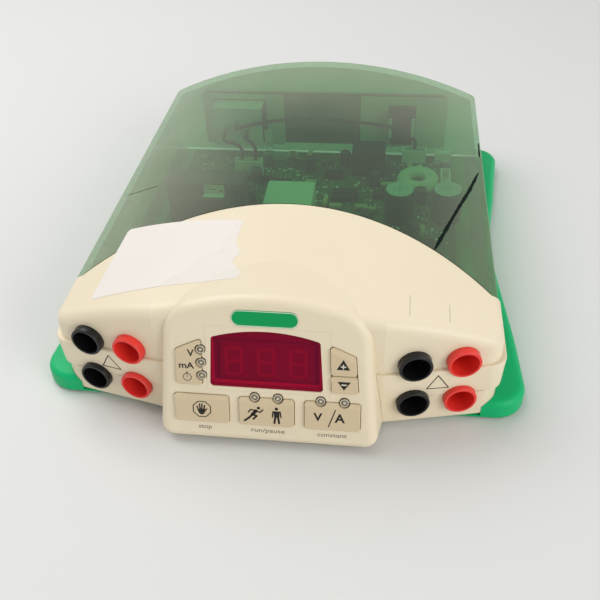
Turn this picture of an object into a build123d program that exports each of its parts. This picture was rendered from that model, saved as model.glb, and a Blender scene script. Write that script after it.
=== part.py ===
from build123d import *
import os
from math import cos, sin, tan, radians, sqrt

# A compact electrophoresis power supply: a green tray with four flared corners, a cream front
# moulding with a tilted console, eight shrouded output sockets, and a smoked green vaulted cover.
# Millimetres. X to the viewer's right, Y to the rear, Z up, origin under the middle of the tray.

os.makedirs("parts", exist_ok=True)

# Overall size
total_width = 210.0
total_depth = 245.0
tray_front_y = -99.7
rear_end_y = total_depth / 2

# Walls and clearances
wall = 2.5
cover_wall = 2.6
fit_gap = 0.3
slide_gap = 0.25

# Vault shared by the hood and the clear cover
vault_half = 90.0
vault_apex_z = 61.8
vault_side_z = 41.7
vault_rise = vault_apex_z - vault_side_z
vault_radius = (vault_rise**2 + vault_half**2) / (2 * vault_rise)
vault_centre_z = vault_apex_z - vault_radius
seam_apex_y = -37.3
seam_radius = 130.0
seam_side_y = -70.8
cover_rear_y = 116.6

# Front body
splay = 12.2
face_y = -107.65
face_half = 45.0
corner_radius = 8.0
shoulder_radius = 5.0
hood_step = 1.4
hood_half = vault_half + hood_step
ledge_z = vault_side_z - 10.5
seam_z = 17.2
skirt_z = 3.0
band_proud = 1.6
band_half = hood_half + 1.8
sill_half = hood_half - 0.4
sill_low_z = 2.3
sill_roll = 2.2

# Console, drawn on its own tilted face; "up" runs up the face from its foot
tilt = 15.1
foot_z = 4.4
foot_y = -123.15
console_half_foot = 44.0
console_half_top = 38.7
console_apex_up = 63.5
console_foot_drop = 0.8
console_arch_radius = 100.0
console_top_corner = 14.0
console_foot_corner = 5.0
console_draft = 7.0
console_edge = 4.0
console_reach = 46.0

# Tray
tray_half = total_width / 2
tray_rear_flare = 1.3
tray_waist_in = 8.4
tray_height = 10.0
tray_floor = 2.4
tray_edge = 3.2
tray_corner = 13.0
tray_rear_y = 112.5
foot_stand = 0.8
foot_radius = 6.5

# Keys
key_travel = 0.8
key_proud = 1.2
key_width = 21.8
key_height = 12.4
key_up = 14.3
key_pitch = 26.0
key_corner = 1.2
key_edge = 0.4
key_bevel_run = 1.9
key_bevel_drop = 0.6
flange_lip = 0.8
flange_thick = 0.7
lamp_radius = 1.6
lamp_hole = 2.05
lamp_notch = 2.35
lamp_proud = 0.7
lamp_dome = 1.2

# Control board behind the console
board_depth = 12.0
board_thick = 1.6
board_foot_half = 41.6
board_foot_up = 8.0
board_waist_half = 40.4
board_top_half = 35.5
board_top_up = 51.5
stem_radius = 2.0
stem_depth = 5.9
switch_size = 6.0
switch_height = 3.5
plunger_radius = 1.7
plunger_height = 1.5

# Sockets
socket_inner_x = 56.8
socket_pitch = 19.05
socket_rows = 20.1
socket_upper_z = ledge_z + 3.9
socket_lower_z = socket_upper_z - socket_rows
collar_radius = 6.65
collar_rim = 1.1
collar_proud = 3.3
collar_depth = 27.0
cup_radius = collar_radius - collar_rim
cup_depth = 11.0
rim_round = 0.5
pin_radius = 2.0
pin_depth = 14.0
contact_radius = 2.8
cup_taper = 4.0
nut_across = 16.6
nut_thick = 3.0
nut_seat = 2.6

# Main board
main_board_z = 10.4
main_board_half = 78.0
main_board_front_y = -72.0
main_board_rear_y = 96.0
standoff_radius = 3.0

# Rear fittings
rear_panel_thick = 2.4
rear_panel_w = 150.0
rear_panel_h = 34.0
rear_fitting_z = 24.5
inlet_x = -51.5
inlet_body_w = 27.4
inlet_body_h = 19.6
inlet_flange_w = 31.0
inlet_flange_h = 25.0
inlet_body_depth = 17.0
inlet_cavity_w = 24.6
inlet_cavity_h = 16.4
inlet_cavity_depth = 14.0
flange_proud = 2.0
rocker_x = 48.0
rocker_body_w = 13.0
rocker_body_h = 19.2
rocker_flange_w = 15.4
rocker_flange_h = 21.6
rocker_body_depth = 15.0
rocker_open_w = 10.8
rocker_open_h = 17.0
rocker_wide = 10.2
rocker_half = 7.4
rocker_crest = 2.9
rocker_dip = 1.9
rocker_rest = 8.0
rocker_pivot_y = 118.6

# Cover details
cover_low_z = 3.6
cover_edge = 1.0
cover_corner = 3.0
seam_gap = 0.15
tongue_thick = 1.2
tongue_front = 5.0
tongue_back = 3.0
vault_low_z = 30.0

# Front body details
band_taper = 3.0
band_edge = 0.8
sill_proud = 0.6
sill_flange = 7.5
pocket_gap = 0.2
foot_recess = 1.2
board_top = main_board_z + 1.6
on_board = (Align.CENTER, Align.CENTER, Align.MIN)
standoff_x = 70.0
standoff_places = (
    (-standoff_x, -62.0),
    (standoff_x, -62.0),
    (-standoff_x, 86.0),
    (standoff_x, 86.0),
    (14.0, -62.0),
    (4.0, 84.0),
)
foot_places = ((-72.0, -80.0), (72.0, -80.0), (-84.0, 96.0), (84.0, 96.0))


def save(piece, name):
    """Label a finished sub-part and write it as one STEP file."""
    piece.part.label = name
    export_step(piece.part, f"parts/{name}.step")


# Planes that follow the object's own faces
face_normal = (0, -cos(radians(tilt)), sin(radians(tilt)))
console_plane = Plane(origin=(0, foot_y, foot_z), x_dir=(1, 0, 0), z_dir=face_normal)
inward_plane = Plane(
    origin=(0, foot_y, foot_z),
    x_dir=(-1, 0, 0),
    z_dir=(0, cos(radians(tilt)), -sin(radians(tilt))),
)


def console_at(depth):
    """The console's plane moved a depth behind the outer face."""
    return console_plane.offset(-depth)


def side_face_y(x):
    """Y of the splayed jack face at a distance x from the middle."""
    return face_y + (x - face_half) * tan(radians(splay))


def socket_plane(side, x, z):
    """Plane on a jack face at a socket's axis, its normal pointing out of the mouth."""
    return Plane(
        origin=(side * x, side_face_y(x), z),
        x_dir=(cos(radians(splay)), side * sin(radians(splay)), 0),
        z_dir=(side * sin(radians(splay)), -cos(radians(splay)), 0),
    )


socket_outer_x = socket_inner_x + socket_pitch * cos(radians(splay))
sockets = {
    f"{hand}_{column}_{row}": (side, x, z)
    for hand, side in (("left", -1), ("right", 1))
    for column, x in (("outer", socket_outer_x), ("inner", socket_inner_x))
    for row, z in (("upper", socket_upper_z), ("lower", socket_lower_z))
}


def body_outline(half, proud, inset, back_y):
    """Plan outline of the front body: a flat middle, two splayed faces and rounded corners."""
    front = face_y - proud + inset
    reach = half - inset
    corner_y = front + (reach - face_half) * tan(radians(splay))
    with BuildSketch() as outline:
        with BuildLine():
            Polyline(
                (-reach, back_y),
                (-reach, corner_y),
                (-face_half, front),
                (face_half, front),
                (reach, corner_y),
                (reach, back_y),
                close=True,
            )
        make_face()
        corners = outline.vertices().filter_by(lambda v: abs(v.X) > face_half + 1 and v.Y < back_y - 1)
        fillet(corners, max(corner_radius - inset, 1.0))
    return outline.sketch


def hood_outline(inset):
    """Plan outline of the hood, with the arched seam at its back."""
    with BuildSketch() as outline:
        add(body_outline(hood_half, 0, inset, rear_end_y))
        with BuildSketch(mode=Mode.PRIVATE) as reach:
            with Locations((0, seam_apex_y - seam_radius)):
                Circle(seam_radius)
            with Locations((0, seam_side_y - total_depth / 2)):
                Rectangle(2 * total_width, total_depth)
        add(reach.sketch, mode=Mode.INTERSECT)
    return outline.sketch


def vault_solid(drop, low_z):
    """The space under the vault, lowered by a drop, as one long block."""
    with BuildPart() as vault:
        with BuildSketch(Plane.XZ.offset(-total_depth)):
            with Locations((0, vault_centre_z)):
                Circle(vault_radius - drop)
            with Locations((0, low_z - vault_radius)):
                Rectangle(4 * vault_radius, 2 * vault_radius, mode=Mode.SUBTRACT)
        extrude(amount=2 * total_depth)
    return vault.part


def tray_outline():
    """Plan outline of the tray: flared corners and a narrower waist."""
    reach = ((0.3, tray_front_y), (-1.0, -86.0), (-2.3, -64.0), (-3.9, -46.0), (-5.8, -28.0),
             (-tray_waist_in, 6.0), (-7.2, 34.0), (-4.6, 54.0), (-3.2, 68.0), (-1.1, 88.0),
             (tray_rear_flare, tray_rear_y))
    side = [(tray_half + out, y) for out, y in reach]
    with BuildSketch() as outline:
        with BuildLine():
            Spline(*side)
            Spline(*[(-x, y) for x, y in side])
            Line((-side[0][0], side[0][1]), side[0])
            Line((-side[-1][0], side[-1][1]), side[-1])
        make_face()
        fillet(outline.vertices(), tray_corner)
    return outline.sketch


def cover_outline(inset):
    """Plan outline of the cover before the seam is cut."""
    with BuildSketch() as outline:
        with Locations((0, (face_y + cover_rear_y - inset) / 2)):
            Rectangle(2 * (vault_half - inset), cover_rear_y - inset - face_y)
        fillet(outline.vertices().group_by(Axis.Y)[-1], max(cover_corner - inset, 0.5))
    return outline.sketch


def console_outline(inset):
    """Outline of the console's face: leaning sides under a shallow arch."""
    lean = (console_half_foot - console_half_top) / console_apex_up
    side_up = console_apex_up - (
        console_arch_radius - sqrt(console_arch_radius**2 - console_half_top**2)
    )
    foot = console_half_foot - inset
    top = console_half_foot - inset - lean * side_up
    with BuildSketch() as outline:
        with BuildLine():
            low = inset - console_foot_drop
            Polyline((-top, side_up - inset), (-foot, low), (foot, low), (top, side_up - inset))
            ThreePointArc(
                (top, side_up - inset), (0, console_apex_up - inset), (-top, side_up - inset)
            )
        make_face()
        upper = outline.vertices().group_by(Axis.Y)[-1]
        fillet(upper, console_top_corner - inset)
        lower = outline.vertices().group_by(Axis.Y)[0]
        fillet(lower, max(console_foot_corner - inset, 1.0))
    return outline.sketch


def console_block(inset, floor_z):
    """The console as a drafted block that runs back into the hood."""
    with BuildPart() as block:
        with BuildSketch(inward_plane.offset(inset)):
            add(console_outline(inset))
        extrude(amount=console_reach, taper=-console_draft)
        if inset == 0:
            rim = block.faces().sort_by(Axis((0, 0, 0), face_normal))[-1].edges()
            fillet(rim, console_edge)
        with BuildSketch(Plane.XY.offset(floor_z)):
            Rectangle(4 * face_half, 4 * total_depth)
        extrude(amount=-total_depth, mode=Mode.SUBTRACT)
    return block.part


# Key outlines on the console's face
def plain_key(x, gap):
    """One of the three wide keys under the window."""
    with BuildSketch() as outline:
        with Locations((x, key_up)):
            RectangleRounded(key_width + 2 * gap, key_height + 2 * gap, key_corner + gap)
    return outline.sketch


def flange_outline(name):
    """Outline of the flange that holds a key behind the console wall."""
    shape, detail, _ = keys[name]
    reach = slide_gap + flange_lip
    with BuildSketch() as outline:
        if shape is plain_key:
            add(plain_key(detail, reach))
        elif name == "mode_key":
            add(shaped_key(detail, reach))
        else:
            add(shaped_key(pad_points, reach))
            lift = 1 if name == "plus_key" else -1
            with Locations((30, pad_split_up + lift * (pad_split_gap / 2 + 20))):
                Rectangle(40, 40, mode=Mode.INTERSECT)
    return outline.sketch


def shaped_key(points, gap):
    """A key drawn through its corner points."""
    with BuildSketch() as outline:
        with BuildLine():
            Polyline(*points, close=True)
        make_face()
        if gap:
            offset(amount=gap, kind=Kind.INTERSECTION)
        fillet(outline.vertices(), key_corner)
    return outline.sketch


pad_split_up = 32.65
pad_split_gap = 0.5
mode_points = ((-35.6, 25.1), (-25.2, 25.1), (-24.9, 45.3), (-35.1, 40.4))
pad_points = ((25.6, 25.1), (35.9, 25.1), (34.6, 41.0), (24.9, 45.3))
plus_points = ((25.25, 32.9), (35.25, 32.9), (34.6, 41.0), (24.9, 45.3))
minus_points = ((25.6, 25.1), (35.9, 25.1), (35.3, 32.4), (25.25, 32.4))

lamp_reach = 4.6
lamps_up = key_up + key_height / 2 + 0.4
run_lamps = ((-lamp_reach, lamps_up), (lamp_reach, lamps_up))
constant_lamps = ((key_pitch - lamp_reach, lamps_up), (key_pitch + lamp_reach, lamps_up))
mode_lamps = ((-25.2, 40.8), (-25.2, 35.1), (-25.2, 29.4))
all_lamps = run_lamps + constant_lamps + mode_lamps

keys = {
    "stop_key": (plain_key, -key_pitch, (-key_pitch, key_up)),
    "run_key": (plain_key, 0.0, (0.0, key_up - 1.0)),
    "constant_key": (plain_key, key_pitch, (key_pitch, key_up - 1.0)),
    "mode_key": (shaped_key, mode_points, (-31.3, 32.5)),
    "plus_key": (shaped_key, plus_points, (30.2, 36.6)),
    "minus_key": (shaped_key, minus_points, (30.8, 28.6)),
}


key_top_up = key_up + key_height / 2
key_tops = {
    "stop_key": ((-key_pitch - key_width / 2, key_top_up), (-key_pitch + key_width / 2, key_top_up)),
    "run_key": ((-key_width / 2, key_top_up), (key_width / 2, key_top_up)),
    "constant_key": ((key_pitch - key_width / 2, key_top_up), (key_pitch + key_width / 2, key_top_up)),
    "mode_key": (mode_points[3], mode_points[2]),
    "plus_key": (plus_points[3], plus_points[2]),
    "minus_key": (minus_points[3], minus_points[2]),
}


def bevel_wedge(left, right):
    """The wedge over a key's upper edge that leaves its strip leaning back."""
    start = Vector(*console_plane.from_local_coords((left[0], left[1], key_proud)))
    end = Vector(*console_plane.from_local_coords((right[0], right[1], key_proud)))
    along = (end - start).normalized()
    out = Vector(*face_normal)
    length = (end - start).length
    section = Plane(origin=start - along * 2, x_dir=out.cross(along), z_dir=along)
    lean = key_bevel_drop / key_bevel_run
    with BuildPart() as wedge:
        with BuildSketch(section):
            with BuildLine():
                Polyline((-key_bevel_run, 0), (1, -lean * (key_bevel_run + 1)), (1, 2), (-key_bevel_run, 2),
                         close=True)
            make_face()
        extrude(amount=length + 4)
    return wedge.part


# Window outline
window_half_foot = 22.2
window_half_top = 21.0
window_foot_up = 24.6
window_side_up = 46.1
window_apex_up = 49.5
window_corner = 1.4
window_sunk = 0.4
window_lip = 0.9
window_lip_thick = 0.8
digit_pitch = 12.6
digit_width = 12.4
digit_height = 19.0
digit_up = 35.8
digit_depth = 4.0


def window_outline(gap):
    """Outline of the display window: nearly upright sides under an arch."""
    with BuildSketch() as outline:
        with BuildLine():
            Polyline(
                (-window_half_top - gap, window_side_up + gap),
                (-window_half_foot - gap, window_foot_up - gap),
                (window_half_foot + gap, window_foot_up - gap),
                (window_half_top + gap, window_side_up + gap),
            )
            ThreePointArc(
                (window_half_top + gap, window_side_up + gap),
                (0, window_apex_up + gap),
                (-window_half_top - gap, window_side_up + gap),
            )
        make_face()
        fillet(outline.vertices(), window_corner)
    return outline.sketch


badge_width = 25.4
badge_height = 6.7
badge_up = 54.9
badge_thick = 0.6
badge_corner = 3.1

badge_recess = 0.4

# Bosses behind the console carry the control board
boss_radius = 1.7
boss_foot_x = key_pitch + key_width / 2 + slide_gap + flange_lip + 0.35 + boss_radius
boss_places = ((-boss_foot_x, 12.0), (boss_foot_x, 12.0), (-31.5, 48.6), (31.5, 48.6))
screw_radius = 0.9
screw_head = 1.8

# Front hood: vaulted top, shoulder, upper jack faces and the console in one moulding
with BuildPart() as front_hood:
    with BuildSketch(Plane.XY.offset(ledge_z)):
        add(hood_outline(0))
    extrude(amount=total_width)
    add(vault_solid(0, 0), mode=Mode.INTERSECT)
    top_face = front_hood.faces().filter_by(GeomType.CYLINDER).sort_by(Axis.Z)[-1]
    shoulder = top_face.edges().filter_by(lambda e: e.center().Y < seam_side_y - 1)
    fillet(shoulder, shoulder_radius)
    add(console_block(0, skirt_z))
    with BuildSketch(Plane.XY.offset(ledge_z - 1)):
        add(hood_outline(wall))
    hollow = extrude(amount=total_width, mode=Mode.PRIVATE)
    add(hollow & vault_solid(wall, 0), mode=Mode.SUBTRACT)
    add(console_block(wall, skirt_z + wall), mode=Mode.SUBTRACT)
    with BuildSketch(Plane.XY.offset(skirt_z - 1)):
        with Locations((0, face_y + total_depth / 2 + wall)):
            Rectangle(2 * total_width, total_depth)
    extrude(amount=ledge_z - skirt_z + 1, mode=Mode.SUBTRACT)
    # Bosses for the control board
    with BuildSketch(console_at(board_depth)):
        with Locations(*boss_places):
            Circle(boss_radius)
    extrude(amount=board_depth - wall)
    # Key, lamp and window openings
    with BuildSketch(console_at(wall + 0.5)):
        for shape, detail, _ in keys.values():
            if shape is plain_key:
                add(plain_key(detail, slide_gap))
        add(shaped_key(mode_points, slide_gap))
        add(shaped_key(pad_points, slide_gap))
        add(window_outline(0.1))
        with Locations(*all_lamps):
            Circle(lamp_hole)
    extrude(amount=wall + 2, mode=Mode.SUBTRACT)
    # Shallow place for the badge
    with BuildSketch(console_at(badge_recess)):
        with Locations((0, badge_up)):
            RectangleRounded(badge_width + 0.1, badge_height + 0.1, badge_corner)
    extrude(amount=badge_recess + 2, mode=Mode.SUBTRACT)
    # Socket holes
    for side, x, z in sockets.values():
        with BuildSketch(socket_plane(side, x, z).offset(-2 * wall)):
            Circle(collar_radius + 0.1)
        extrude(amount=4 * wall, mode=Mode.SUBTRACT)
save(front_hood, "front_hood")

# Bands and sills below the ledge, left and right of the console
for hand, side in (("left", -1), ("right", 1)):
    near = [place for name, place in sockets.items() if place[0] == side]
    with BuildPart() as jack_band:
        with BuildSketch(Plane.XY.offset(ledge_z)):
            add(body_outline(band_half, band_proud, 0, seam_side_y))
        extrude(amount=-(ledge_z - seam_z), taper=band_taper)
        rim = jack_band.faces().sort_by(Axis.Z)[-1].edges()
        fillet(rim.filter_by(lambda e: e.center().Y < seam_side_y - 1), band_edge)
        rim = jack_band.faces().sort_by(Axis.Z)[0].edges()
        fillet(rim.filter_by(lambda e: e.center().Y < seam_side_y - 1), band_edge / 2)
        with BuildSketch(Plane.XY.offset(seam_z - 1)):
            add(body_outline(band_half, band_proud, wall + band_proud, rear_end_y))
        extrude(amount=total_width, mode=Mode.SUBTRACT)
        with BuildSketch(Plane.XY.offset(seam_z - 1)):
            with Locations((-side * (total_width - face_half / 2), 0)):
                Rectangle(2 * total_width, 2 * total_depth)
        extrude(amount=total_width, mode=Mode.SUBTRACT)
        add(console_block(-0.1, 0), mode=Mode.SUBTRACT)
        for _, x, z in near:
            with BuildSketch(socket_plane(side, x, z).offset(-3 * wall)):
                Circle(collar_radius + 0.1)
            extrude(amount=6 * wall, mode=Mode.SUBTRACT)
    save(jack_band, f"{hand}_band")

    with BuildPart() as front_sill:
        with BuildSketch(Plane.XY.offset(sill_low_z)):
            add(body_outline(sill_half, sill_proud, 0, seam_side_y))
        extrude(amount=seam_z - sill_low_z)
        rim = front_sill.faces().sort_by(Axis.Z)[0].edges()
        fillet(rim.filter_by(lambda e: e.center().Y < seam_side_y - 1), sill_roll)
        rim = front_sill.faces().sort_by(Axis.Z)[-1].edges()
        chamfer(rim.filter_by(lambda e: e.center().Y < seam_side_y - 1), 0.3)
        with BuildSketch(Plane.XY.offset(sill_low_z + wall)):
            add(body_outline(sill_half, sill_proud, wall, rear_end_y))
        extrude(amount=total_width, mode=Mode.SUBTRACT)
        with BuildSketch(Plane.XY.offset(sill_low_z - 1)):
            add(body_outline(sill_half, sill_proud, sill_flange, rear_end_y))
        extrude(amount=total_width, mode=Mode.SUBTRACT)
        with BuildSketch(Plane.XY.offset(sill_low_z - 1)):
            with Locations((-side * (total_width - face_half / 2), 0)):
                Rectangle(2 * total_width, 2 * total_depth)
        extrude(amount=total_width, mode=Mode.SUBTRACT)
        add(console_block(-0.1, 0), mode=Mode.SUBTRACT)
        for _, x, z in near:
            with BuildSketch(socket_plane(side, x, z).offset(-3 * wall)):
                Circle(collar_radius + 0.1)
            extrude(amount=6 * wall, mode=Mode.SUBTRACT)
    save(front_sill, f"{hand}_sill")

# Sockets: a shrouded body for each, then the contacts and the ring nuts as groups
for name, (side, x, z) in sockets.items():
    with BuildPart() as socket:
        with BuildSketch(socket_plane(side, x, z).offset(collar_proud - collar_depth)):
            Circle(collar_radius)
        extrude(amount=collar_depth)
        mouth = socket.faces().sort_by(Axis((0, 0, 0), tuple(socket_plane(side, x, z).z_dir)))[-1]
        fillet(mouth.edges(), rim_round)
        with BuildSketch(socket_plane(side, x, z).offset(collar_proud)):
            Circle(cup_radius)
        extrude(amount=-cup_depth, taper=cup_taper, mode=Mode.SUBTRACT)
        with BuildSketch(socket_plane(side, x, z).offset(collar_proud)):
            Circle(contact_radius)
        extrude(amount=-collar_depth, mode=Mode.SUBTRACT)
    save(socket, f"{name}_socket")

with BuildPart() as socket_contacts:
    for side, x, z in sockets.values():
        with BuildSketch(socket_plane(side, x, z).offset(collar_proud - collar_depth)):
            Circle(contact_radius)
        extrude(amount=collar_depth - cup_depth)
        with BuildSketch(socket_plane(side, x, z).offset(collar_proud - cup_depth)):
            Circle(pin_radius)
        extrude(amount=-pin_depth, mode=Mode.SUBTRACT)
        with BuildSketch(socket_plane(side, x, z).offset(collar_proud - collar_depth)):
            Rectangle(0.8, 3.2)
        extrude(amount=-5.0)
save(socket_contacts, "socket_contacts")

with BuildPart() as socket_nuts:
    for side, x, z in sockets.values():
        with BuildSketch(socket_plane(side, x, z).offset(-nut_seat)):
            Circle(nut_across / 2)
            Circle(collar_radius, mode=Mode.SUBTRACT)
        extrude(amount=-nut_thick)
save(socket_nuts, "socket_nuts")

# Keys: a proud cap, a flange that holds it in and a stem over its switch
for name, (shape, detail, centre) in keys.items():
    with BuildPart() as key:
        with BuildSketch(console_at(-key_proud)):
            add(shape(detail, 0))
        extrude(amount=-(key_proud + wall + slide_gap))
        cap = key.faces().sort_by(Axis((0, 0, 0), face_normal))[-1]
        fillet(cap.edges(), key_edge)
        add(bevel_wedge(*key_tops[name]), mode=Mode.SUBTRACT)
        with BuildSketch(console_at(wall + slide_gap)):
            add(flange_outline(name))
        extrude(amount=-flange_thick)
        with BuildSketch(console_at(wall + slide_gap + flange_thick)):
            with Locations(centre):
                Circle(stem_radius)
        extrude(amount=-(stem_depth - wall - slide_gap - flange_thick))
        with BuildSketch(console_at(-key_proud - 1)):
            with Locations(*all_lamps):
                Circle(lamp_notch)
        extrude(amount=-3 * wall, mode=Mode.SUBTRACT)
    save(key, name)

# Lamps: domed diodes that stand on the control board and show in the face
lamp_rows = {"run_lamps": run_lamps, "constant_lamps": constant_lamps, "mode_lamps": mode_lamps}
for name, places in lamp_rows.items():
    with BuildPart() as lamps:
        with BuildSketch(console_at(board_depth)):
            with Locations(*places):
                Circle(lamp_radius)
        extrude(amount=board_depth + lamp_proud)
        domes = lamps.faces().group_by(Axis((0, 0, 0), face_normal))[-1]
        fillet(domes.edges(), lamp_dome)
        with BuildSketch(console_at(board_depth)):
            with Locations(*places):
                Circle(lamp_radius + 0.3)
        extrude(amount=1.0)
    save(lamps, name)

# Display: tinted window, three digit blocks
with BuildPart() as display_window:
    with BuildSketch(console_at(wall)):
        add(window_outline(0))
    extrude(amount=wall - window_sunk)
    with BuildSketch(console_at(wall)):
        add(window_outline(window_lip))
    extrude(amount=-window_lip_thick)
save(display_window, "display_window")

with BuildPart() as display_digits:
    with BuildSketch(console_at(board_depth)):
        with Locations((-digit_pitch, digit_up), (0, digit_up), (digit_pitch, digit_up)):
            Rectangle(digit_width, digit_height)
    extrude(amount=board_depth - digit_depth)
save(display_digits, "display_digits")

with BuildPart() as badge:
    with BuildSketch(console_at(badge_recess)):
        with Locations((0, badge_up)):
            RectangleRounded(badge_width, badge_height, badge_corner)
    extrude(amount=badge_thick)
save(badge, "badge")

# Control board with its switches and screws
with BuildPart() as control_board:
    with BuildSketch(console_at(board_depth)):
        with BuildLine():
            Polyline(
                (-board_foot_half, board_foot_up),
                (board_foot_half, board_foot_up),
                (board_waist_half, 26.0),
                (board_top_half, board_top_up),
                (-board_top_half, board_top_up),
                (-board_waist_half, 26.0),
                close=True,
            )
        make_face()
        with Locations(*boss_places):
            Circle(screw_radius + 0.1, mode=Mode.SUBTRACT)
    extrude(amount=-board_thick)
save(control_board, "control_board")

with BuildPart() as tact_switches:
    for _, _, centre in keys.values():
        with BuildSketch(console_at(board_depth)):
            with Locations(centre):
                Rectangle(switch_size, switch_size)
        extrude(amount=switch_height)
        with BuildSketch(console_at(board_depth - switch_height)):
            with Locations(centre):
                Circle(plunger_radius)
        extrude(amount=plunger_height)
save(tact_switches, "tact_switches")

with BuildPart() as console_screws:
    with BuildSketch(console_at(board_depth + board_thick)):
        with Locations(*boss_places):
            Circle(screw_head)
    extrude(amount=-1.4)
    with BuildSketch(console_at(board_depth + board_thick)):
        with Locations(*boss_places):
            Circle(screw_radius)
    extrude(amount=board_thick)
save(console_screws, "console_screws")

# Tray: hourglass plan, rolled rim, a pocket for the body, standoffs and foot recesses
with BuildPart() as base_tray:
    with BuildSketch(Plane.XY.offset(foot_stand)):
        add(tray_outline())
    extrude(amount=tray_height - foot_stand)
    rim = base_tray.faces().sort_by(Axis.Z)[-1].edges()
    fillet(rim, tray_edge)
    keel = base_tray.faces().sort_by(Axis.Z)[0].edges()
    fillet(keel, 1.0)
    with BuildSketch(Plane.XY.offset(foot_stand + tray_floor)):
        add(body_outline(sill_half, sill_proud, -pocket_gap, rear_end_y))
    extrude(amount=total_width, mode=Mode.SUBTRACT)
    with BuildSketch(Plane.XY.offset(sill_low_z - pocket_gap)):
        add(body_outline(sill_half, sill_proud, -pocket_gap, seam_side_y + pocket_gap))
        add(body_outline(sill_half, sill_proud, sill_flange + pocket_gap, rear_end_y), mode=Mode.SUBTRACT)
    extrude(amount=tray_height, mode=Mode.SUBTRACT)
    with BuildSketch(Plane.XY.offset(foot_stand)):
        with Locations(*standoff_places):
            Circle(standoff_radius)
    extrude(amount=main_board_z - foot_stand)
    with BuildSketch(Plane.XY.offset(main_board_z)):
        with Locations(*standoff_places):
            Circle(screw_radius)
    extrude(amount=-5.0, mode=Mode.SUBTRACT)
    with BuildSketch(Plane.XY.offset(foot_stand + foot_recess)):
        with Locations(*foot_places):
            Circle(foot_radius)
    extrude(amount=-2 * foot_recess, mode=Mode.SUBTRACT)
    with BuildSketch(Plane.XY):
        with Locations((0, -30), (0, 55)):
            with GridLocations(11.0, 0, 9, 1):
                SlotOverall(34.0, 3.0, rotation=90)
    extrude(amount=2 * tray_height, mode=Mode.SUBTRACT)
save(base_tray, "base_tray")

with BuildPart() as rubber_feet:
    with BuildSketch():
        with Locations(*foot_places):
            Circle(foot_radius - 0.1)
    extrude(amount=foot_stand + foot_recess)
    fillet(rubber_feet.faces().group_by(Axis.Z)[0].edges(), 0.4)
save(rubber_feet, "rubber_feet")

# Smoked cover: vault, sides and rear wall, with a tongue that runs under the hood
with BuildPart() as top_cover:
    with BuildSketch(Plane.XY.offset(cover_low_z)):
        add(cover_outline(0))
        with Locations((0, seam_apex_y - seam_radius)):
            Circle(seam_radius + seam_gap, mode=Mode.SUBTRACT)
        with Locations((0, seam_side_y + seam_gap - total_depth / 2)):
            Rectangle(2 * total_width, total_depth, mode=Mode.SUBTRACT)
    extrude(amount=total_width)
    add(vault_solid(0, 0), mode=Mode.INTERSECT)
    crown = top_cover.faces().filter_by(GeomType.CYLINDER).sort_by(Axis.Z)[-1]
    outer_edges = crown.edges().filter_by(
        lambda e: e.center().Y > cover_rear_y - 4 or abs(e.center().X) > vault_half - 2
    )
    fillet(outer_edges.filter_by(lambda e: e.center().Y > seam_side_y + 2), cover_edge)
    with BuildSketch(Plane.XY.offset(cover_low_z - 1)):
        add(cover_outline(cover_wall))
    space = extrude(amount=total_width, mode=Mode.PRIVATE)
    add(space & vault_solid(cover_wall, 0), mode=Mode.SUBTRACT)
    # Tongue under the hood
    with BuildSketch(Plane.XY.offset(vault_low_z)):
        with Locations((0, seam_apex_y - seam_radius)):
            Circle(seam_radius + tongue_back)
            Circle(seam_radius - tongue_front, mode=Mode.SUBTRACT)
        with Locations((0, seam_apex_y)):
            Rectangle(2 * (vault_half - 9), 2 * 34.0, mode=Mode.INTERSECT)
    tongue = extrude(amount=total_width, mode=Mode.PRIVATE)
    tongue = tongue & vault_solid(cover_wall, 0)
    add(tongue - vault_solid(cover_wall + tongue_thick, -total_width))
    # Openings for the inlet and the power rocker
    with BuildSketch(Plane.XZ.offset(-cover_rear_y - 1)):
        with Locations((inlet_x, rear_fitting_z)):
            Rectangle(inlet_body_w + fit_gap, inlet_body_h + fit_gap)
        with Locations((rocker_x, rear_fitting_z)):
            Rectangle(rocker_body_w + fit_gap, rocker_body_h + fit_gap)
    extrude(amount=3 * cover_wall, mode=Mode.SUBTRACT)
save(top_cover, "top_cover")

# Rear fittings
rear_face = cover_rear_y + rear_panel_thick

with BuildPart() as rear_panel:
    with BuildSketch(Plane.XZ.offset(-cover_rear_y)):
        with Locations((0, rear_fitting_z)):
            RectangleRounded(rear_panel_w, rear_panel_h, 4.0)
        with Locations((inlet_x, rear_fitting_z)):
            Rectangle(inlet_body_w + fit_gap, inlet_body_h + fit_gap, mode=Mode.SUBTRACT)
        with Locations((rocker_x, rear_fitting_z)):
            Rectangle(rocker_body_w + fit_gap, rocker_body_h + fit_gap, mode=Mode.SUBTRACT)
    extrude(amount=-rear_panel_thick)
    outer = rear_panel.faces().sort_by(Axis.Y)[-1]
    fillet(outer.outer_wire().edges(), 0.8)
save(rear_panel, "rear_panel")

with BuildPart() as mains_inlet:
    with BuildSketch(Plane.XZ.offset(-rear_face)):
        with Locations((inlet_x, rear_fitting_z)):
            RectangleRounded(inlet_flange_w, inlet_flange_h, 2.0)
    extrude(amount=-flange_proud)
    with BuildSketch(Plane.XZ.offset(-rear_face)):
        with Locations((inlet_x, rear_fitting_z)):
            Rectangle(inlet_body_w, inlet_body_h)
    extrude(amount=inlet_body_depth)
    with BuildSketch(Plane.XZ.offset(-rear_face - flange_proud)):
        with BuildLine():
            left = inlet_x - inlet_cavity_w / 2
            right = inlet_x + inlet_cavity_w / 2
            low = rear_fitting_z - inlet_cavity_h / 2
            high = rear_fitting_z + inlet_cavity_h / 2
            Polyline(
                (left, high - 4),
                (left, low),
                (right, low),
                (right, high - 4),
                (right - 4, high),
                (left + 4, high),
                close=True,
            )
        make_face()
    extrude(amount=inlet_cavity_depth, mode=Mode.SUBTRACT)
save(mains_inlet, "mains_inlet")

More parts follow.
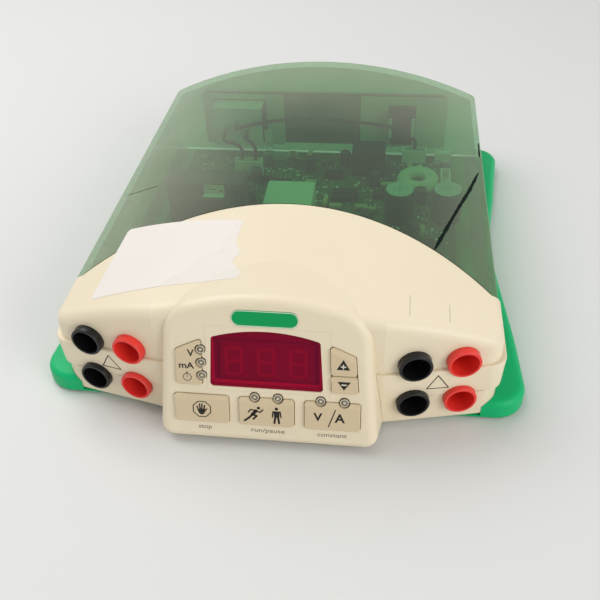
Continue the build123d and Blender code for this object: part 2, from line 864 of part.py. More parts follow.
pin_places = (
    (inlet_x - 7, rear_fitting_z - 1),
    (inlet_x + 7, rear_fitting_z - 1),
    (inlet_x, rear_fitting_z + 3),
)
with BuildPart() as inlet_pins:
    with BuildSketch(Plane.XZ.offset(-rear_face - flange_proud + inlet_cavity_depth)):
        with Locations(*pin_places):
            Rectangle(2.0, 4.0)
    extrude(amount=-9.5)
    with BuildSketch(Plane.XZ.offset(-rear_face + inlet_body_depth)):
        with Locations(*pin_places):
            Rectangle(0.8, 4.8)
    extrude(amount=6.0)
save(inlet_pins, "inlet_pins")

with BuildPart() as rocker_frame:
    with BuildSketch(Plane.XZ.offset(-rear_face)):
        with Locations((rocker_x, rear_fitting_z)):
            RectangleRounded(rocker_flange_w, rocker_flange_h, 1.2)
    extrude(amount=-flange_proud)
    with BuildSketch(Plane.XZ.offset(-rear_face)):
        with Locations((rocker_x, rear_fitting_z)):
            Rectangle(rocker_body_w, rocker_body_h)
    extrude(amount=rocker_body_depth)
    with BuildSketch(Plane.XZ.offset(-rear_face - flange_proud)):
        with Locations((rocker_x, rear_fitting_z)):
            Rectangle(rocker_open_w, rocker_open_h)
    extrude(amount=rocker_body_depth, mode=Mode.SUBTRACT)
save(rocker_frame, "rocker_frame")


def rocked(y, z):
    """A point of the paddle's profile, turned to its rest about the pivot."""
    angle = radians(rocker_rest)
    return (
        rocker_pivot_y + y * cos(angle) - z * sin(angle),
        rear_fitting_z + y * sin(angle) + z * cos(angle),
    )


with BuildPart() as power_rocker:
    with BuildSketch(Plane.YZ.offset(rocker_x - rocker_wide / 2)):
        with BuildLine():
            Polyline(
                rocked(rocker_crest, -rocker_half),
                rocked(rocker_dip, 0),
                rocked(rocker_crest, rocker_half),
                rocked(-1.5, rocker_half),
                rocked(-5.0, 2.0),
                rocked(-5.0, -2.0),
                rocked(-1.5, -rocker_half),
                close=True,
            )
        make_face()
    extrude(amount=rocker_wide)
save(power_rocker, "power_rocker")

# Main board and the parts on it
with BuildPart() as main_board:
    with BuildSketch(Plane.XY.offset(main_board_z)):
        with Locations((0, (main_board_front_y + main_board_rear_y) / 2)):
            RectangleRounded(2 * main_board_half, main_board_rear_y - main_board_front_y, 3.0)
        with Locations(*standoff_places):
            Circle(screw_radius + 0.2, mode=Mode.SUBTRACT)
    extrude(amount=board_top - main_board_z)
save(main_board, "main_board")

with BuildPart() as board_screws:
    with Locations(*[(x, y, board_top) for x, y in standoff_places]):
        Cylinder(2.8, 1.8, align=on_board)
    with Locations(*[(x, y, main_board_z - 4.5) for x, y in standoff_places]):
        Cylinder(screw_radius, 4.5 + board_top - main_board_z, align=on_board)
save(board_screws, "board_screws")

with BuildPart() as transformer_core:
    with Locations((-50, 14, board_top + 3)):
        Box(40, 14, 28, align=on_board)
    with Locations((-60, 14, board_top + 8), (-40, 14, board_top + 8)):
        Box(10, 14, 18, align=on_board, mode=Mode.SUBTRACT)
save(transformer_core, "transformer_core")

with BuildPart() as transformer_winding:
    with Locations((-50, 14, board_top + 8.2)):
        Box(29.2, 28, 17.6, align=on_board)
    fillet(transformer_winding.edges().filter_by(Axis.Z), 4.0)
    with Locations((-50, 14, board_top + 8.2)):
        Box(10.4, 14.4, 17.6, align=on_board, mode=Mode.SUBTRACT)
save(transformer_winding, "transformer_winding")

with BuildPart() as transformer_base:
    with Locations((-50, 14, board_top)):
        Box(42, 26, 3, align=on_board)
save(transformer_base, "transformer_base")

with BuildPart() as air_duct:
    with Locations((-9, -6, board_top)):
        Box(25.5, 80, 18, align=on_board)
        fillet(air_duct.edges().filter_by(Axis.Z), 1.5)
    with Locations((-9, -6, board_top)):
        Box(21.5, 76, 16, align=on_board, mode=Mode.SUBTRACT)
    fillet(air_duct.faces().sort_by(Axis.Z)[-1].edges(), 0.8)
save(air_duct, "air_duct")

filter_radius = 7.8
filter_height = 18.0
with BuildPart() as filter_capacitors:
    with Locations((48.5, 29.2, board_top), (73.3, 30.8, board_top)):
        Cylinder(filter_radius, filter_height, align=on_board)
    fillet(filter_capacitors.faces().group_by(Axis.Z)[-1].edges(), 0.6)
save(filter_capacitors, "filter_capacitors")

choke_ring = 8.0
choke_bulge = 3.8
with BuildPart() as toroid_choke:
    with Locations((58.5, 62, board_top + choke_bulge)):
        Torus(choke_ring, choke_bulge)
save(toroid_choke, "toroid_choke")

sink_x = 45.0
sink_y = -52.0
sink_length = 50.0
sink_back = 3.0
sink_height = 24.0
fin_count = 10
fin_pitch = 5.0
fin_reach = 10.0
fin_thick = 1.4
with BuildPart() as heat_sink:
    with Locations((sink_x, sink_y, board_top)):
        Box(sink_length, sink_back, sink_height, align=on_board)
    with Locations((sink_x, sink_y + sink_back / 2 + fin_reach / 2 - 0.1, board_top)):
        with GridLocations(fin_pitch, 0, fin_count, 1):
            Box(fin_thick, fin_reach + 0.2, sink_height, align=on_board)
save(heat_sink, "heat_sink")

package_width = 10.0
package_thick = 4.4
package_height = 15.0
package_pitch = 12.0
package_stand = 3.0
with BuildPart() as power_transistors:
    with Locations((sink_x, sink_y - sink_back / 2 - package_thick / 2 - 0.1, board_top + package_stand)):
        with GridLocations(package_pitch, 0, 4, 1):
            Box(package_width, package_thick, package_height, align=on_board)
            with GridLocations(2.5, 0, 3, 1):
                Box(0.8, 0.5, package_stand, align=(Align.CENTER, Align.CENTER, Align.MAX))
save(power_transistors, "power_transistors")

with BuildPart() as relay:
    with Locations((30, 78, board_top)):
        Box(19, 15, 15, align=on_board)
        fillet(relay.edges().filter_by(Axis.Z), 0.8)
save(relay, "relay")

with BuildPart() as fuse:
    with BuildSketch(Plane.YZ.offset(-32.5)):
        with Locations((82, board_top + 5.5)):
            Circle(2.5)
    extrude(amount=20)
save(fuse, "fuse")

with BuildPart() as fuse_clips:
    for x in (-31.5, -17.5):
        with BuildSketch(Plane.YZ.offset(x)):
            with Locations((82, board_top)):
                Rectangle(7, 7, align=(Align.CENTER, Align.MIN))
            with Locations((82, board_top + 5.5)):
                Circle(2.55, mode=Mode.SUBTRACT)
                Rectangle(3.4, 9, mode=Mode.SUBTRACT, align=(Align.CENTER, Align.MIN))
        extrude(amount=4)
save(fuse_clips, "fuse_clips")

chip_height = 2.4
chip_places = (
    (14, 24, 12, 8),
    (18, 48, 14, 10),
    (44, 8, 8, 16),
    (-20, 56, 12, 12),
    (38, 50, 8, 6),
    (10, 70, 10, 7),
    (62, 4, 10, 7),
    (-62, 52, 16, 11),
    (22, -12, 18, 7),
    (-66, -30, 10, 18),
)
with BuildPart() as chips:
    for x, y, w, d in chip_places:
        with Locations((x, y, board_top)):
            Box(w, d, chip_height, align=on_board)
save(chips, "chips")

small_radius = 3.1
small_height = 8.0
small_places = ((8, 8), (22, 6), (32, 22), (60, 46), (34, 62), (-4, 76), (-34, 40), (56, 14), (66, -12),
                (-34, 62), (16, 84), (-70, 34), (-30, -22), (-34, -48), (-60, -52))
with BuildPart() as small_capacitors:
    with Locations(*[(x, y, board_top) for x, y in small_places]):
        Cylinder(small_radius, small_height, align=on_board)
save(small_capacitors, "small_capacitors")

resistor_radius = 1.5
resistor_length = 6.5
resistor_places = ((8, 40), (14, 36), (28, 36), (24, 14), (38, -4), (41, 60), (54, 79), (-44, 52),
                   (-2, 60), (-6, 91), (20, 92), (33, 34), (61, 16), (-66, -10), (-50, -30))
with BuildPart() as resistors:
    for n, (x, y) in enumerate(resistor_places):
        turned = (0, 90, 0) if n % 3 else (90, 0, 0)
        with Locations(Location((x, y, board_top + resistor_radius + 0.1), turned)):
            Cylinder(resistor_radius, resistor_length)
save(resistors, "resistors")

shell_wall = 0.8
shell_floor = 2.0
connector_places = (
    (-40, 72, 16, 5.5, 8),
    (-9, -60, 20, 6, 9),
    (56, 90, 14, 5.5, 8),
    (74, 64, 5.5, 16, 6),
)
with BuildPart() as connectors:
    for x, y, w, d, h in connector_places:
        with Locations((x, y, board_top)):
            Box(w, d, h, align=on_board)
        with Locations((x, y, board_top + shell_floor)):
            Box(w - 2 * shell_wall, d - 2 * shell_wall, h, align=on_board, mode=Mode.SUBTRACT)
save(connectors, "connectors")

# Ribbon lead from the control board down to the main board
with BuildPart() as ribbon_lead:
    with BuildSketch(Plane.YZ.offset(-17)):
        with BuildLine():
            FilletPolyline((-95.4, 32.7), (-88, 32.7), (-84, 28), (-60, 28), (-60, 15), radius=3)
        trace(line_width=1.0)
    extrude(amount=16)
save(ribbon_lead, "ribbon_lead")

with BuildPart() as ribbon_header:
    with BuildSketch(console_at(board_depth + board_thick)):
        with Locations((-9, 34.5)):
            Rectangle(20, 6)
    extrude(amount=-5.5)
save(ribbon_header, "ribbon_header")

# Mains leads from the inlet to the rocker and the board
with BuildPart() as mains_leads:
    for points in (
        ((inlet_x - 7, 94.6, 23.5), (inlet_x - 7, 90, 23.5), (-44, 74, 25), (-44, 72, 20.2)),
        ((inlet_x + 7, 94.6, 23.5), (inlet_x + 7, 88, 25.5), (-36, 74, 26), (-36, 72, 20.2)),
        ((inlet_x, 94.6, 27.5), (-30, 97, 32), (30, 97, 32), (rocker_x - 4, 102.6, 27)),
        ((rocker_x + 4, 102.6, 23), (rocker_x + 4, 98, 23), (56, 91, 25), (56, 90, 20.2)),
    ):
        with BuildLine():
            path = Spline(*points)
        with BuildSketch(Plane(origin=path @ 0, z_dir=path % 0)):
            Circle(1.0)
        sweep(path=path)
save(mains_leads, "mains_leads")
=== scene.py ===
# %% [markdown]
# # A compact electrophoresis power supply
# This bench unit feeds gel tanks. It has a green tray, a cream front moulding with a tilted console,
# eight shrouded sockets and a smoke-green cover with the circuit board under it. The CAD model gives
# every solid in its place. This notebook gives each one its finish, adds the printing, the torn
# paper label and the small parts of the circuit board, and then sets up a plain studio. Lengths are
# written in millimetres and turn to metres at the last moment, because Blender counts in metres.
#
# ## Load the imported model
# The solids could be modelled again here, but then the picture and the CAD could drift apart.

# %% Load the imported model
import math
import random

import bmesh
import bpy
from mathutils import Matrix, Vector
from mathutils.bvhtree import BVHTree


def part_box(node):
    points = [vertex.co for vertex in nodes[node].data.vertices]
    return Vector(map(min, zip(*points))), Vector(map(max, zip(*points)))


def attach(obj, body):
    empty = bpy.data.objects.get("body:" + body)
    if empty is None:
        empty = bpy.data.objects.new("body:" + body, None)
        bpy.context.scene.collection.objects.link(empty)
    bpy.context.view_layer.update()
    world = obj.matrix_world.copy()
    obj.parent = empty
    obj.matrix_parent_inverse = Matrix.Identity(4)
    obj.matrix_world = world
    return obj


MM = 0.001
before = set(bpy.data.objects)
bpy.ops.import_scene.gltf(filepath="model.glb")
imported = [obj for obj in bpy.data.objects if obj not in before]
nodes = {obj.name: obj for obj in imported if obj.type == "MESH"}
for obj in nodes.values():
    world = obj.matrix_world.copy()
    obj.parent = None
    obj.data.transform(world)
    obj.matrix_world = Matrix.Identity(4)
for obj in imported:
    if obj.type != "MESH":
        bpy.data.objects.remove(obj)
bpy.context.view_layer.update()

# %% [markdown]
# ## Colours
# Colours are written as sRGB hex values, the way a paint chart gives them. The renderer adds up
# linear light, in which half as bright to the eye is about a fifth of the number, so one function
# turns the one into the other. Picking the linear numbers by eye would work too, but no one could
# compare them with a chart.

# %% From a hex colour to linear light


def linear(code, alpha=1.0):
    """Turn an sRGB hex colour into linear light."""
    parts = [int(code[i:i + 2], 16) / 255 for i in (0, 2, 4)]
    light = tuple(c / 12.92 if c <= 0.04045 else ((c + 0.055) / 1.055) ** 2.4 for c in parts)
    return light + (alpha,)


print("middle grey in linear light", round(linear("808080")[0], 3))

# %% [markdown]
# ## Nodes
# A material is a small graph of nodes. Each node could be made by hand in the shader editor, or by
# four or five lines of code. One function adds a node with its settings and its links, so that a
# material reads from top to bottom. A value that is a socket is linked, and any other is set.

# %% One function for every node


def add(tree, kind, inputs=None, **settings):
    """Add one node; a value in inputs is either a plain setting or a socket to link from."""
    made = tree.nodes.new(kind)
    for key, value in settings.items():
        setattr(made, key, value)
    for key, value in (inputs or {}).items():
        if isinstance(value, bpy.types.NodeSocket):
            tree.links.new(value, made.inputs[key])
        else:
            made.inputs[key].default_value = value
    return made


def new_material(name):
    """An empty material with its output node."""
    material = bpy.data.materials.new(name)
    material.use_nodes = True
    material.node_tree.nodes.clear()
    return material, material.node_tree, add(material.node_tree, "ShaderNodeOutputMaterial")


print("helpers for nodes ready")

# %% [markdown]
# ## A moulded or coated skin
# Nearly every piece is moulded, cast, plated or printed, and differs from the next in colour, gloss
# and grain. A photograph of the surface could be wrapped round it, but it would need unwrapping and
# would repeat. Noise in the object's own space has no seams. A wide noise drifts between two near
# colours and makes the gloss vary a little, as real mouldings do, and a fine noise raises the grain.
# ABS, polyamide, epoxy and most lacquers bend light by an index of about 1.5, so this is the same for
# all, and sheen sets how much of that reflection is left where a surface looks more dull.
#
# Each finish below is one call: its name, two near colours, its roughness, and the width and depth of
# its grain in millimetres.
#
# A spark-eroded mould leaves a grain of about a tenth of a millimetre, and plating or varnish an
# even finer one. That would vanish in a picture in which a millimetre is about two dots wide, so each
# grain is drawn several times as coarse, from 0.35 to 2 mm wide. Its depth stays small, mostly a few
# hundredths of a millimetre or less.

# %% The moulded skin
# Noise seldom leaves this range, so the whole change of gloss is spread over it
NOISE_LOW, NOISE_HIGH = 0.3, 0.7
POLISHED, DULL = 0.88, 1.14


def moulded(name, main, shade, roughness, grain_mm, depth_mm, sheen=0.5, metallic=0.0, patch_mm=40.0):
    """A moulded or coated surface: a faint drift of colour, a fine grain and a varied gloss."""
    material, tree, output = new_material(name)
    place = add(tree, "ShaderNodeTexCoord")
    drift = add(tree, "ShaderNodeTexNoise", {"Vector": place.outputs["Object"], "Scale": 1000 / patch_mm,
                                             "Detail": 3.0, "Roughness": 0.6})
    grain = add(tree, "ShaderNodeTexNoise", {"Vector": place.outputs["Object"], "Scale": 1000 / grain_mm,
                                             "Detail": 2.0, "Roughness": 0.5})
    colour = add(tree, "ShaderNodeMix", {"Factor": drift.outputs["Fac"]}, data_type="RGBA")
    colour.inputs["A"].default_value = linear(main)
    colour.inputs["B"].default_value = linear(shade)
    gloss = add(tree, "ShaderNodeMapRange", {"Value": drift.outputs["Fac"], "From Min": NOISE_LOW,
                                             "From Max": NOISE_HIGH,
                                             "To Min": roughness * POLISHED,
                                             "To Max": min(1.0, roughness * DULL)})
    bump = add(tree, "ShaderNodeBump", {"Height": grain.outputs["Fac"], "Strength": 0.6,
                                        "Distance": depth_mm * MM})
    skin = add(tree, "ShaderNodeBsdfPrincipled", {"Base Color": colour.outputs["Result"],
                                                  "Roughness": gloss.outputs["Result"],
                                                  "Normal": bump.outputs["Normal"],
                                                  "Metallic": metallic, "Specular IOR Level": sheen,
                                                  "IOR": 1.5})
    tree.links.new(skin.outputs["BSDF"], output.inputs["Surface"])
    return material


print("gloss varies by", round(DULL - POLISHED, 2), "of its value")

# %% [markdown]
# ## Housing, keys and tray
# All three are ABS, the plastic of most bench instruments. It is injection moulded, with a
# spark-eroded texture that spreads a highlight into a soft sheen. The keys are a shade darker and a
# little duller than the housing. The tray's green is strong, so its sheen is low, which keeps white
# reflections from washing the colour out.

# %% Housing, keys and tray
# Cream ABS: a wide soft highlight on every rolled edge
cream_abs = moulded("cream_moulded_abs", "EADDC2", "E4D5B6", 0.42, 0.7, 0.03)
# Tan ABS: duller, so the keys read as matt against the console
key_abs = moulded("tan_moulded_key_abs", "D5C3A2", "CFBA96", 0.46, 0.7, 0.02)
# Green ABS: a saturated body colour with hardly any shine
green_abs = moulded("green_moulded_abs", "00B872", "00AE6A", 0.4, 0.8, 0.02, sheen=0.25)
print("housing plastics", len(bpy.data.materials))

# %% [markdown]
# ## Sockets, inlet, rocker and feet
# The shrouds of the sockets are polyamide from a polished mould, which gives a clear highlight along
# the rim. The inlet and the rocker are the usual black mouldings, and the feet are rubber. Black
# pieces aren't written as pure black, because then nothing but the highlight would show their form.

# %% Sockets, inlet, rocker and feet
# Red polyamide: a bright rim and a dark cup
red_nylon = moulded("red_moulded_nylon", "EC3A31", "E02E27", 0.34, 1.0, 0.01, sheen=0.5)
# Black polyamide: a thin grey highlight along the rim
black_nylon = moulded("black_moulded_nylon", "101012", "161618", 0.3, 1.0, 0.01, sheen=0.4)
# Glass-filled polyamide: a little duller and greyer
inlet_nylon = moulded("black_moulded_inlet_nylon", "141416", "1B1B1E", 0.4, 1.0, 0.01)
# Black ABS: matt, as behind the rocker and round the nuts
black_abs = moulded("black_moulded_abs", "17181A", "1E1F21", 0.5, 0.6, 0.03)
# Rubber: no clear highlight at all
foot_rubber = moulded("moulded_rubber", "161616", "202020", 0.85, 0.8, 0.05)
print("finishes so far", len(bpy.data.materials))

# %% [markdown]
# ## Badge
# The badge is a vinyl plate printed green up to a hair before its cut edge, where the pale film
# shows. It could be one plate with two colours, but the edge is a line of its own, so that it stays
# crisp at any size of picture.

# %% Badge
# Printed vinyl: flat colour with the faint shine of a film
badge_film = moulded("green_printed_vinyl", "009C56", "00954F", 0.42, 1.5, 0.004, sheen=0.2)
# Bare pale vinyl at the cut edge
badge_edge = moulded("pale_printed_vinyl", "CFE6CE", "C6DFC6", 0.45, 1.5, 0.004)
print("finishes so far", len(bpy.data.materials))

# %% [markdown]
# ## Boards and metals
# A circuit board is glass epoxy under green solder mask. Its patches are only 6 mm wide, because
# copper below the mask changes its tone every few millimetres. The metals are plated, anodised or
# varnished. A metal's colour is the colour of its reflection, so metallic is at or near 1 and the
# roughness says how it was finished. The varnish over the laminations takes some of the metal away.

# %% Boards and metals
# Solder mask: glossy, with a mottled green
green_mask = moulded("solder_mask_on_glass_epoxy", "0F5C33", "14693C", 0.35, 2.0, 0.02, patch_mm=6)
# Nickel-plated brass: a clear reflection that stays a little warm
plated_brass = moulded("nickel_plated_brass", "C8B27A", "B59E66", 0.3, 1.0, 0.004, metallic=1.0)
# Zinc-plated steel: a cooler and slightly duller one
zinc_steel = moulded("zinc_plated_steel", "B9BABC", "A7A8AA", 0.34, 0.8, 0.01, metallic=1.0)
# Anodised aluminium: a grey satin that never mirrors
extruded_aluminium = moulded("anodised_extruded_aluminium", "8E9092", "7C7E80", 0.42, 0.6, 0.02,
                              metallic=1.0)
# Varnished laminations: dark, with a broken sheen from plate to plate
laminated_steel = moulded("varnished_laminated_steel", "5C5C5E", "4A4A4C", 0.4, 0.5, 0.05, metallic=0.7)
print("finishes so far", len(bpy.data.materials))

# %% [markdown]
# ## Parts under the cover
# These are seen only through the smoked cover, so what counts is how light or dark each one is. The
# white mouldings, the aluminium can tops and the taped ring catch the eye, and the sleeves and
# packages sink back.

# %% Parts under the cover
# Polyester tape over a winding: dark, with the shine of a film
winding_tape = moulded("polyester_winding_tape", "3A3B2C", "303226", 0.35, 1.2, 0.02)
# Grey ABS: the inner side of the rear panel
grey_abs = moulded("grey_moulded_abs", "8E938A", "858A82", 0.5, 0.7, 0.03)
# White polyamide: the brightest thing inside
white_nylon = moulded("white_moulded_nylon", "E4E2DA", "DAD7CC", 0.45, 0.8, 0.02)
# Epoxy package: black, with a fine dull grain
epoxy_package = moulded("black_moulded_epoxy", "1A1B1C", "232425", 0.55, 0.5, 0.03)
# Shrunk PVC sleeve: drawn tight, so it is smooth and shiny
sleeve_pvc = moulded("shrunk_pvc_sleeve", "1E4D33", "17402A", 0.32, 1.4, 0.01)
# Taped ring core: pale, with coarse ridges from the lapped tape
taped_core = moulded("taped_toroidal_core", "DCD9C4", "CFCBB0", 0.5, 0.9, 0.1)
# Pressed aluminium: left bare, and dulled, so it looks more white than mirror
can_aluminium = moulded("pressed_aluminium_can", "D5D6D6", "C4C5C6", 0.5, 0.9, 0.02, metallic=0.3)
# Ribbon cable: the ridges of its cores are drawn as a deep grain
grey_pvc = moulded("grey_ribbon_pvc", "8E9092", "7F8183", 0.5, 1.3, 0.05)
# Resistor lacquer: a beige dip coat
resistor_lacquer = moulded("resistor_lacquer", "C9B78C", "BCA97C", 0.4, 0.9, 0.02)
print("finishes so far", len(bpy.data.materials))

# %% [markdown]
# ## Ink, shade and paper
# The signs are screen printed: a dry film of ink with almost no gloss. Marker ink dries darker and
# smoother. The shade in a joint is a colour of its own, because a gap of a few hundredths of a
# millimetre is too narrow for the renderer to darken it by itself. The label is coated paper, and
# where its top layer has peeled, the dull fibres show.

# %% Ink, shade and paper
# Screen inks: black signs, grey captions, the faint rules and the white marks on black arrows
ink = moulded("black_screen_ink", "22201C", "2A2722", 0.6, 0.6, 0.004, sheen=0.3)
pale_ink = moulded("grey_screen_ink", "7F7868", "888070", 0.6, 0.6, 0.004)
rule_ink = moulded("faint_screen_ink", "C2B59B", "CABEA4", 0.6, 0.6, 0.004)
white_ink = moulded("white_screen_ink", "ECE4D2", "E6DDCA", 0.6, 0.6, 0.004)
# Marker ink: such a dark green that it reads as black
marker_ink = moulded("dried_marker_ink", "03100B", "071A12", 0.6, 0.8, 0.01, sheen=0.1)
# Painted shade of the gap between hood and cover, and the colour of the faint marker line
gap_shade_and_faint_ink = moulded("painted_gap_shade_and_faint_ink", "2B3A2C", "25332A", 0.8, 0.8, 0.01, sheen=0.2)
# Coated paper: smooth and even
white_paper = moulded("coated_white_paper", "E9E2DB", "E4DCD3", 0.62, 0.5, 0.02)
# Peeled paper: rough, with patches where fibres lifted
peeled_paper = moulded("peeled_paper_layer", "E1D9CE", "E9E2D9", 0.8, 0.35, 0.04, patch_mm=7.0)
print("finishes", len(bpy.data.materials))

# %% [markdown]
# ## See-through finishes
# The cover is smoke-green polycarbonate, moulded as one thin shell. Glass shaders that bend light
# would need a shell of exact thickness and would darken what stands behind it, so the sheet is mixed
# from three simple parts. It tints what is behind it, carries a thin haze that lifts the dark inside,
# and throws back a mirror image that grows at a slant.
#
# The mirror's share is worked out from the angle alone, four parts in a hundred when looked at
# straight on. Blender's own node for the share of a mirror would turn the shell's inner side into a
# full mirror, because the light isn't bent on its way through here. The haze thickens towards the
# left, the rear and the right flank, a painted reflection of the bright room on those flanks. Real
# scratches are finer than any dot of the picture, so they are drawn as a noise with patches of 45 mm.

# %% A clear tinted sheet
# Where the haze thickens as a painted reflection: an axis, where it starts and ends in metres, and
# the most it grows by
PAINTED_REFLECTION_FLANKS = (("X", -0.015, -0.085, 2.7), ("Y", 0.03, 0.115, 2.7), ("X", 0.05, 0.09, 1.3))
LEAST_HAZE = 0.4
HAZE_PATCH_MM = 45
HAZE_DRIFT = 0.15


def tinted(name, tint, body, body_share, mirror_roughness, ior, reflecting_flanks=False):
    """A clear tinted sheet: coloured transmission, a share of diffuse body and a slant mirror."""
    material, tree, output = new_material(name)
    clear = add(tree, "ShaderNodeBsdfTransparent", {"Color": linear(tint)})
    haze = add(tree, "ShaderNodeBsdfDiffuse", {"Color": linear(body)})
    place = add(tree, "ShaderNodeTexCoord")
    film = add(tree, "ShaderNodeTexNoise", {"Vector": place.outputs["Object"], "Scale": 1000 / HAZE_PATCH_MM,
                                            "Detail": 5.0, "Roughness": 0.65})
    share = add(tree, "ShaderNodeMapRange", {"Value": film.outputs["Fac"], "From Min": NOISE_LOW,
                                             "From Max": NOISE_HIGH,
                                             "To Min": body_share * (1 - HAZE_DRIFT),
                                             "To Max": body_share * (1 + HAZE_DRIFT)})
    amount = share.outputs["Result"]
    # Painted reflection: the haze grows towards the flanks that mirror the bright room
    if reflecting_flanks:
        parts = add(tree, "ShaderNodeSeparateXYZ", {"Vector": place.outputs["Object"]})
        flank_reflection = None
        for axis, start, end, most in PAINTED_REFLECTION_FLANKS:
            side = add(tree, "ShaderNodeMapRange", {"Value": parts.outputs[axis], "From Min": start,
                                                    "From Max": end, "To Min": LEAST_HAZE, "To Max": most})
            side = side.outputs["Result"]
            flank_reflection = side if flank_reflection is None else add(tree, "ShaderNodeMath", {0: flank_reflection, 1: side},
                                                 operation="MAXIMUM").outputs[0]
        amount = add(tree, "ShaderNodeMath", {0: amount, 1: flank_reflection}, operation="MULTIPLY").outputs[0]
    sheet = add(tree, "ShaderNodeMixShader", {0: amount, 1: clear.outputs[0], 2: haze.outputs[0]})
    mirror = add(tree, "ShaderNodeBsdfGlossy", {"Color": (1, 1, 1, 1), "Roughness": mirror_roughness})
    # What a smooth sheet throws back when it is looked at straight on
    straight = ((ior - 1) / (ior + 1))**2
    slant = add(tree, "ShaderNodeLayerWeight", {"Blend": 0.5})
    steep = add(tree, "ShaderNodeMath", {0: slant.outputs["Facing"], 1: 5.0}, operation="POWER")
    edge = add(tree, "ShaderNodeMath", {0: steep.outputs[0], 1: 1 - straight, 2: straight},
               operation="MULTIPLY_ADD")
    skin = add(tree, "ShaderNodeMixShader", {0: edge.outputs[0], 1: sheet.outputs[0], 2: mirror.outputs[0]})
    tree.links.new(skin.outputs[0], output.inputs["Surface"])
    return material


print("flanks with a painted reflection", len(PAINTED_REFLECTION_FLANKS))

# %% [markdown]
# ## Cover, window, lamps and fuse
# The window is cast red acrylic with much more body than the cover, so it stays red with nothing lit
# behind it. The lamps are clear epoxy domes, cloudy enough to look like pale beads, and the fuse is a
# thin glass tube.

# %% Cover, window, lamps and fuse
# Polycarbonate: a green tint, a warm haze and a soft mirror; its index, 1.58, is matched at 1.5
smoke_polycarbonate = tinted("smoke_green_polycarbonate", "BFE6CC", "DCC9B6", 0.085, 0.06, 1.5, reflecting_flanks=True)
# Acrylic: deep pink-red; its index, 1.49, is matched at 1.2, because the window mirrors little
red_acrylic = tinted("red_cast_acrylic", "E84084", "B4044A", 0.25, 0.12, 1.2)
# Epoxy: a milky bead
lens_epoxy = tinted("water_clear_epoxy", "EEE8DA", "B4AA94", 0.45, 0.1, 1.5)
# Glass: almost invisible, with a sharp highlight
fuse_glass = tinted("clear_fuse_glass", "F0F4F2", "D8E0DC", 0.15, 0.04, 1.5)
print("see-through", smoke_polycarbonate.name, red_acrylic.name, lens_epoxy.name, fuse_glass.name)

# %% [markdown]
# ## Dress the CAD nodes
# Every solid keeps its CAD shape and takes the finish of the real piece. A list for each finish is
# easier to check against the object than a finish for each of the nodes.

# %% Dress the CAD nodes
dress = {
    cream_abs: ["front_hood", "left_band", "right_band", "left_sill", "right_sill"],
    key_abs: ["stop_key", "run_key", "constant_key", "mode_key", "plus_key", "minus_key"],
    green_abs: ["base_tray"],
    red_nylon: ["left_inner_upper_socket", "left_inner_lower_socket",
                "right_outer_upper_socket", "right_outer_lower_socket"],
    black_nylon: ["left_outer_upper_socket", "left_outer_lower_socket",
                  "right_inner_upper_socket", "right_inner_lower_socket", "power_rocker"],
    inlet_nylon: ["mains_inlet"],
    black_abs: ["rocker_frame", "socket_nuts", "tact_switches"],
    foot_rubber: ["rubber_feet", "mains_leads"],
    badge_film: ["badge"],
    green_mask: ["main_board", "control_board"],
    plated_brass: ["socket_contacts", "fuse_clips"],
    zinc_steel: ["inlet_pins", "board_screws", "console_screws"],
    extruded_aluminium: ["heat_sink"],
    laminated_steel: ["transformer_core"],
    winding_tape: ["transformer_winding"],
    white_nylon: ["connectors", "ribbon_header", "air_duct"],
    grey_abs: ["rear_panel"],
    epoxy_package: ["chips", "relay", "power_transistors", "transformer_base", "display_digits"],
    sleeve_pvc: ["filter_capacitors", "small_capacitors"],
    taped_core: ["toroid_choke"],
    grey_pvc: ["ribbon_lead"],
    resistor_lacquer: ["resistors"],
    smoke_polycarbonate: ["top_cover"],
    red_acrylic: ["display_window"],
    lens_epoxy: ["run_lamps", "constant_lamps", "mode_lamps"],
    fuse_glass: ["fuse"],
}
dressed = 0
for material, names in dress.items():
    for name in names:
        mesh = nodes[name].data
        mesh.materials.clear()
        mesh.materials.append(material)
        dressed += 1
print("dressed", dressed, "of", len(nodes))

# %% [markdown]
# ## The console's own plane
# Everything printed on the console is laid out on its tilted face: x to the right, up along the
# face from its foot, and lift out of the face. The signs could be placed in the room's axes, but then
# each would need its slope worked out. The same three numbers as in the CAD place the plane.

# %% The console's plane
TILT = math.radians(15.1)
FOOT = Vector((0, -123.15, 4.4))
UP = Vector((0, math.sin(TILT), math.cos(TILT)))
OUT = Vector((0, -math.cos(TILT), math.sin(TILT)))
KEY_PROUD = 1.2
INK_LIFT = 0.03


def on_face(x, up, lift=0.0):
    """A point of the console's face, in metres."""
    return (FOOT + Vector((x, 0, 0)) + UP * up + OUT * lift) * MM


print("top of the console at", [round(v, 4) for v in on_face(0, 60)])

# %% [markdown]
# ## From points to a piece
# A piece of the visual model is a mesh with a finish that rides on one of the CAD's bodies, so it
# moves with that body's joint. Two small functions do this for every piece made below. The first
# takes a mesh, and the second takes a bmesh, which is Blender's workshop for faces and points.

# %% Pieces that ride on a body


def ride_on(name, mesh, material, body):
    """Give a mesh its finish and let it ride on a body."""
    mesh.materials.clear()
    mesh.materials.append(material)
    piece = bpy.data.objects.new(name, mesh)
    bpy.context.scene.collection.objects.link(piece)
    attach(piece, body)
    return piece


def finish_piece(name, made, material, body):
    """Turn a bmesh into a piece that rides on a body."""
    bmesh.ops.recalc_face_normals(made, faces=made.faces)
    mesh = bpy.data.meshes.new(name)
    made.to_mesh(mesh)
    made.free()
    return ride_on(name, mesh, material, body)


# %% [markdown]
# ## Ink and foil as thin prisms
# Ink could be painted with an image, but an image blurs when the camera comes near. Here each sign is
# a set of flat outlines raised by a few hundredths of a millimetre, which stays sharp and casts the
# same tiny edge as real ink. A dot is a many-sided outline, and a line is a quad for each run with a
# dot at each corner, so that runs meet without a notch.

# %% Flat pieces


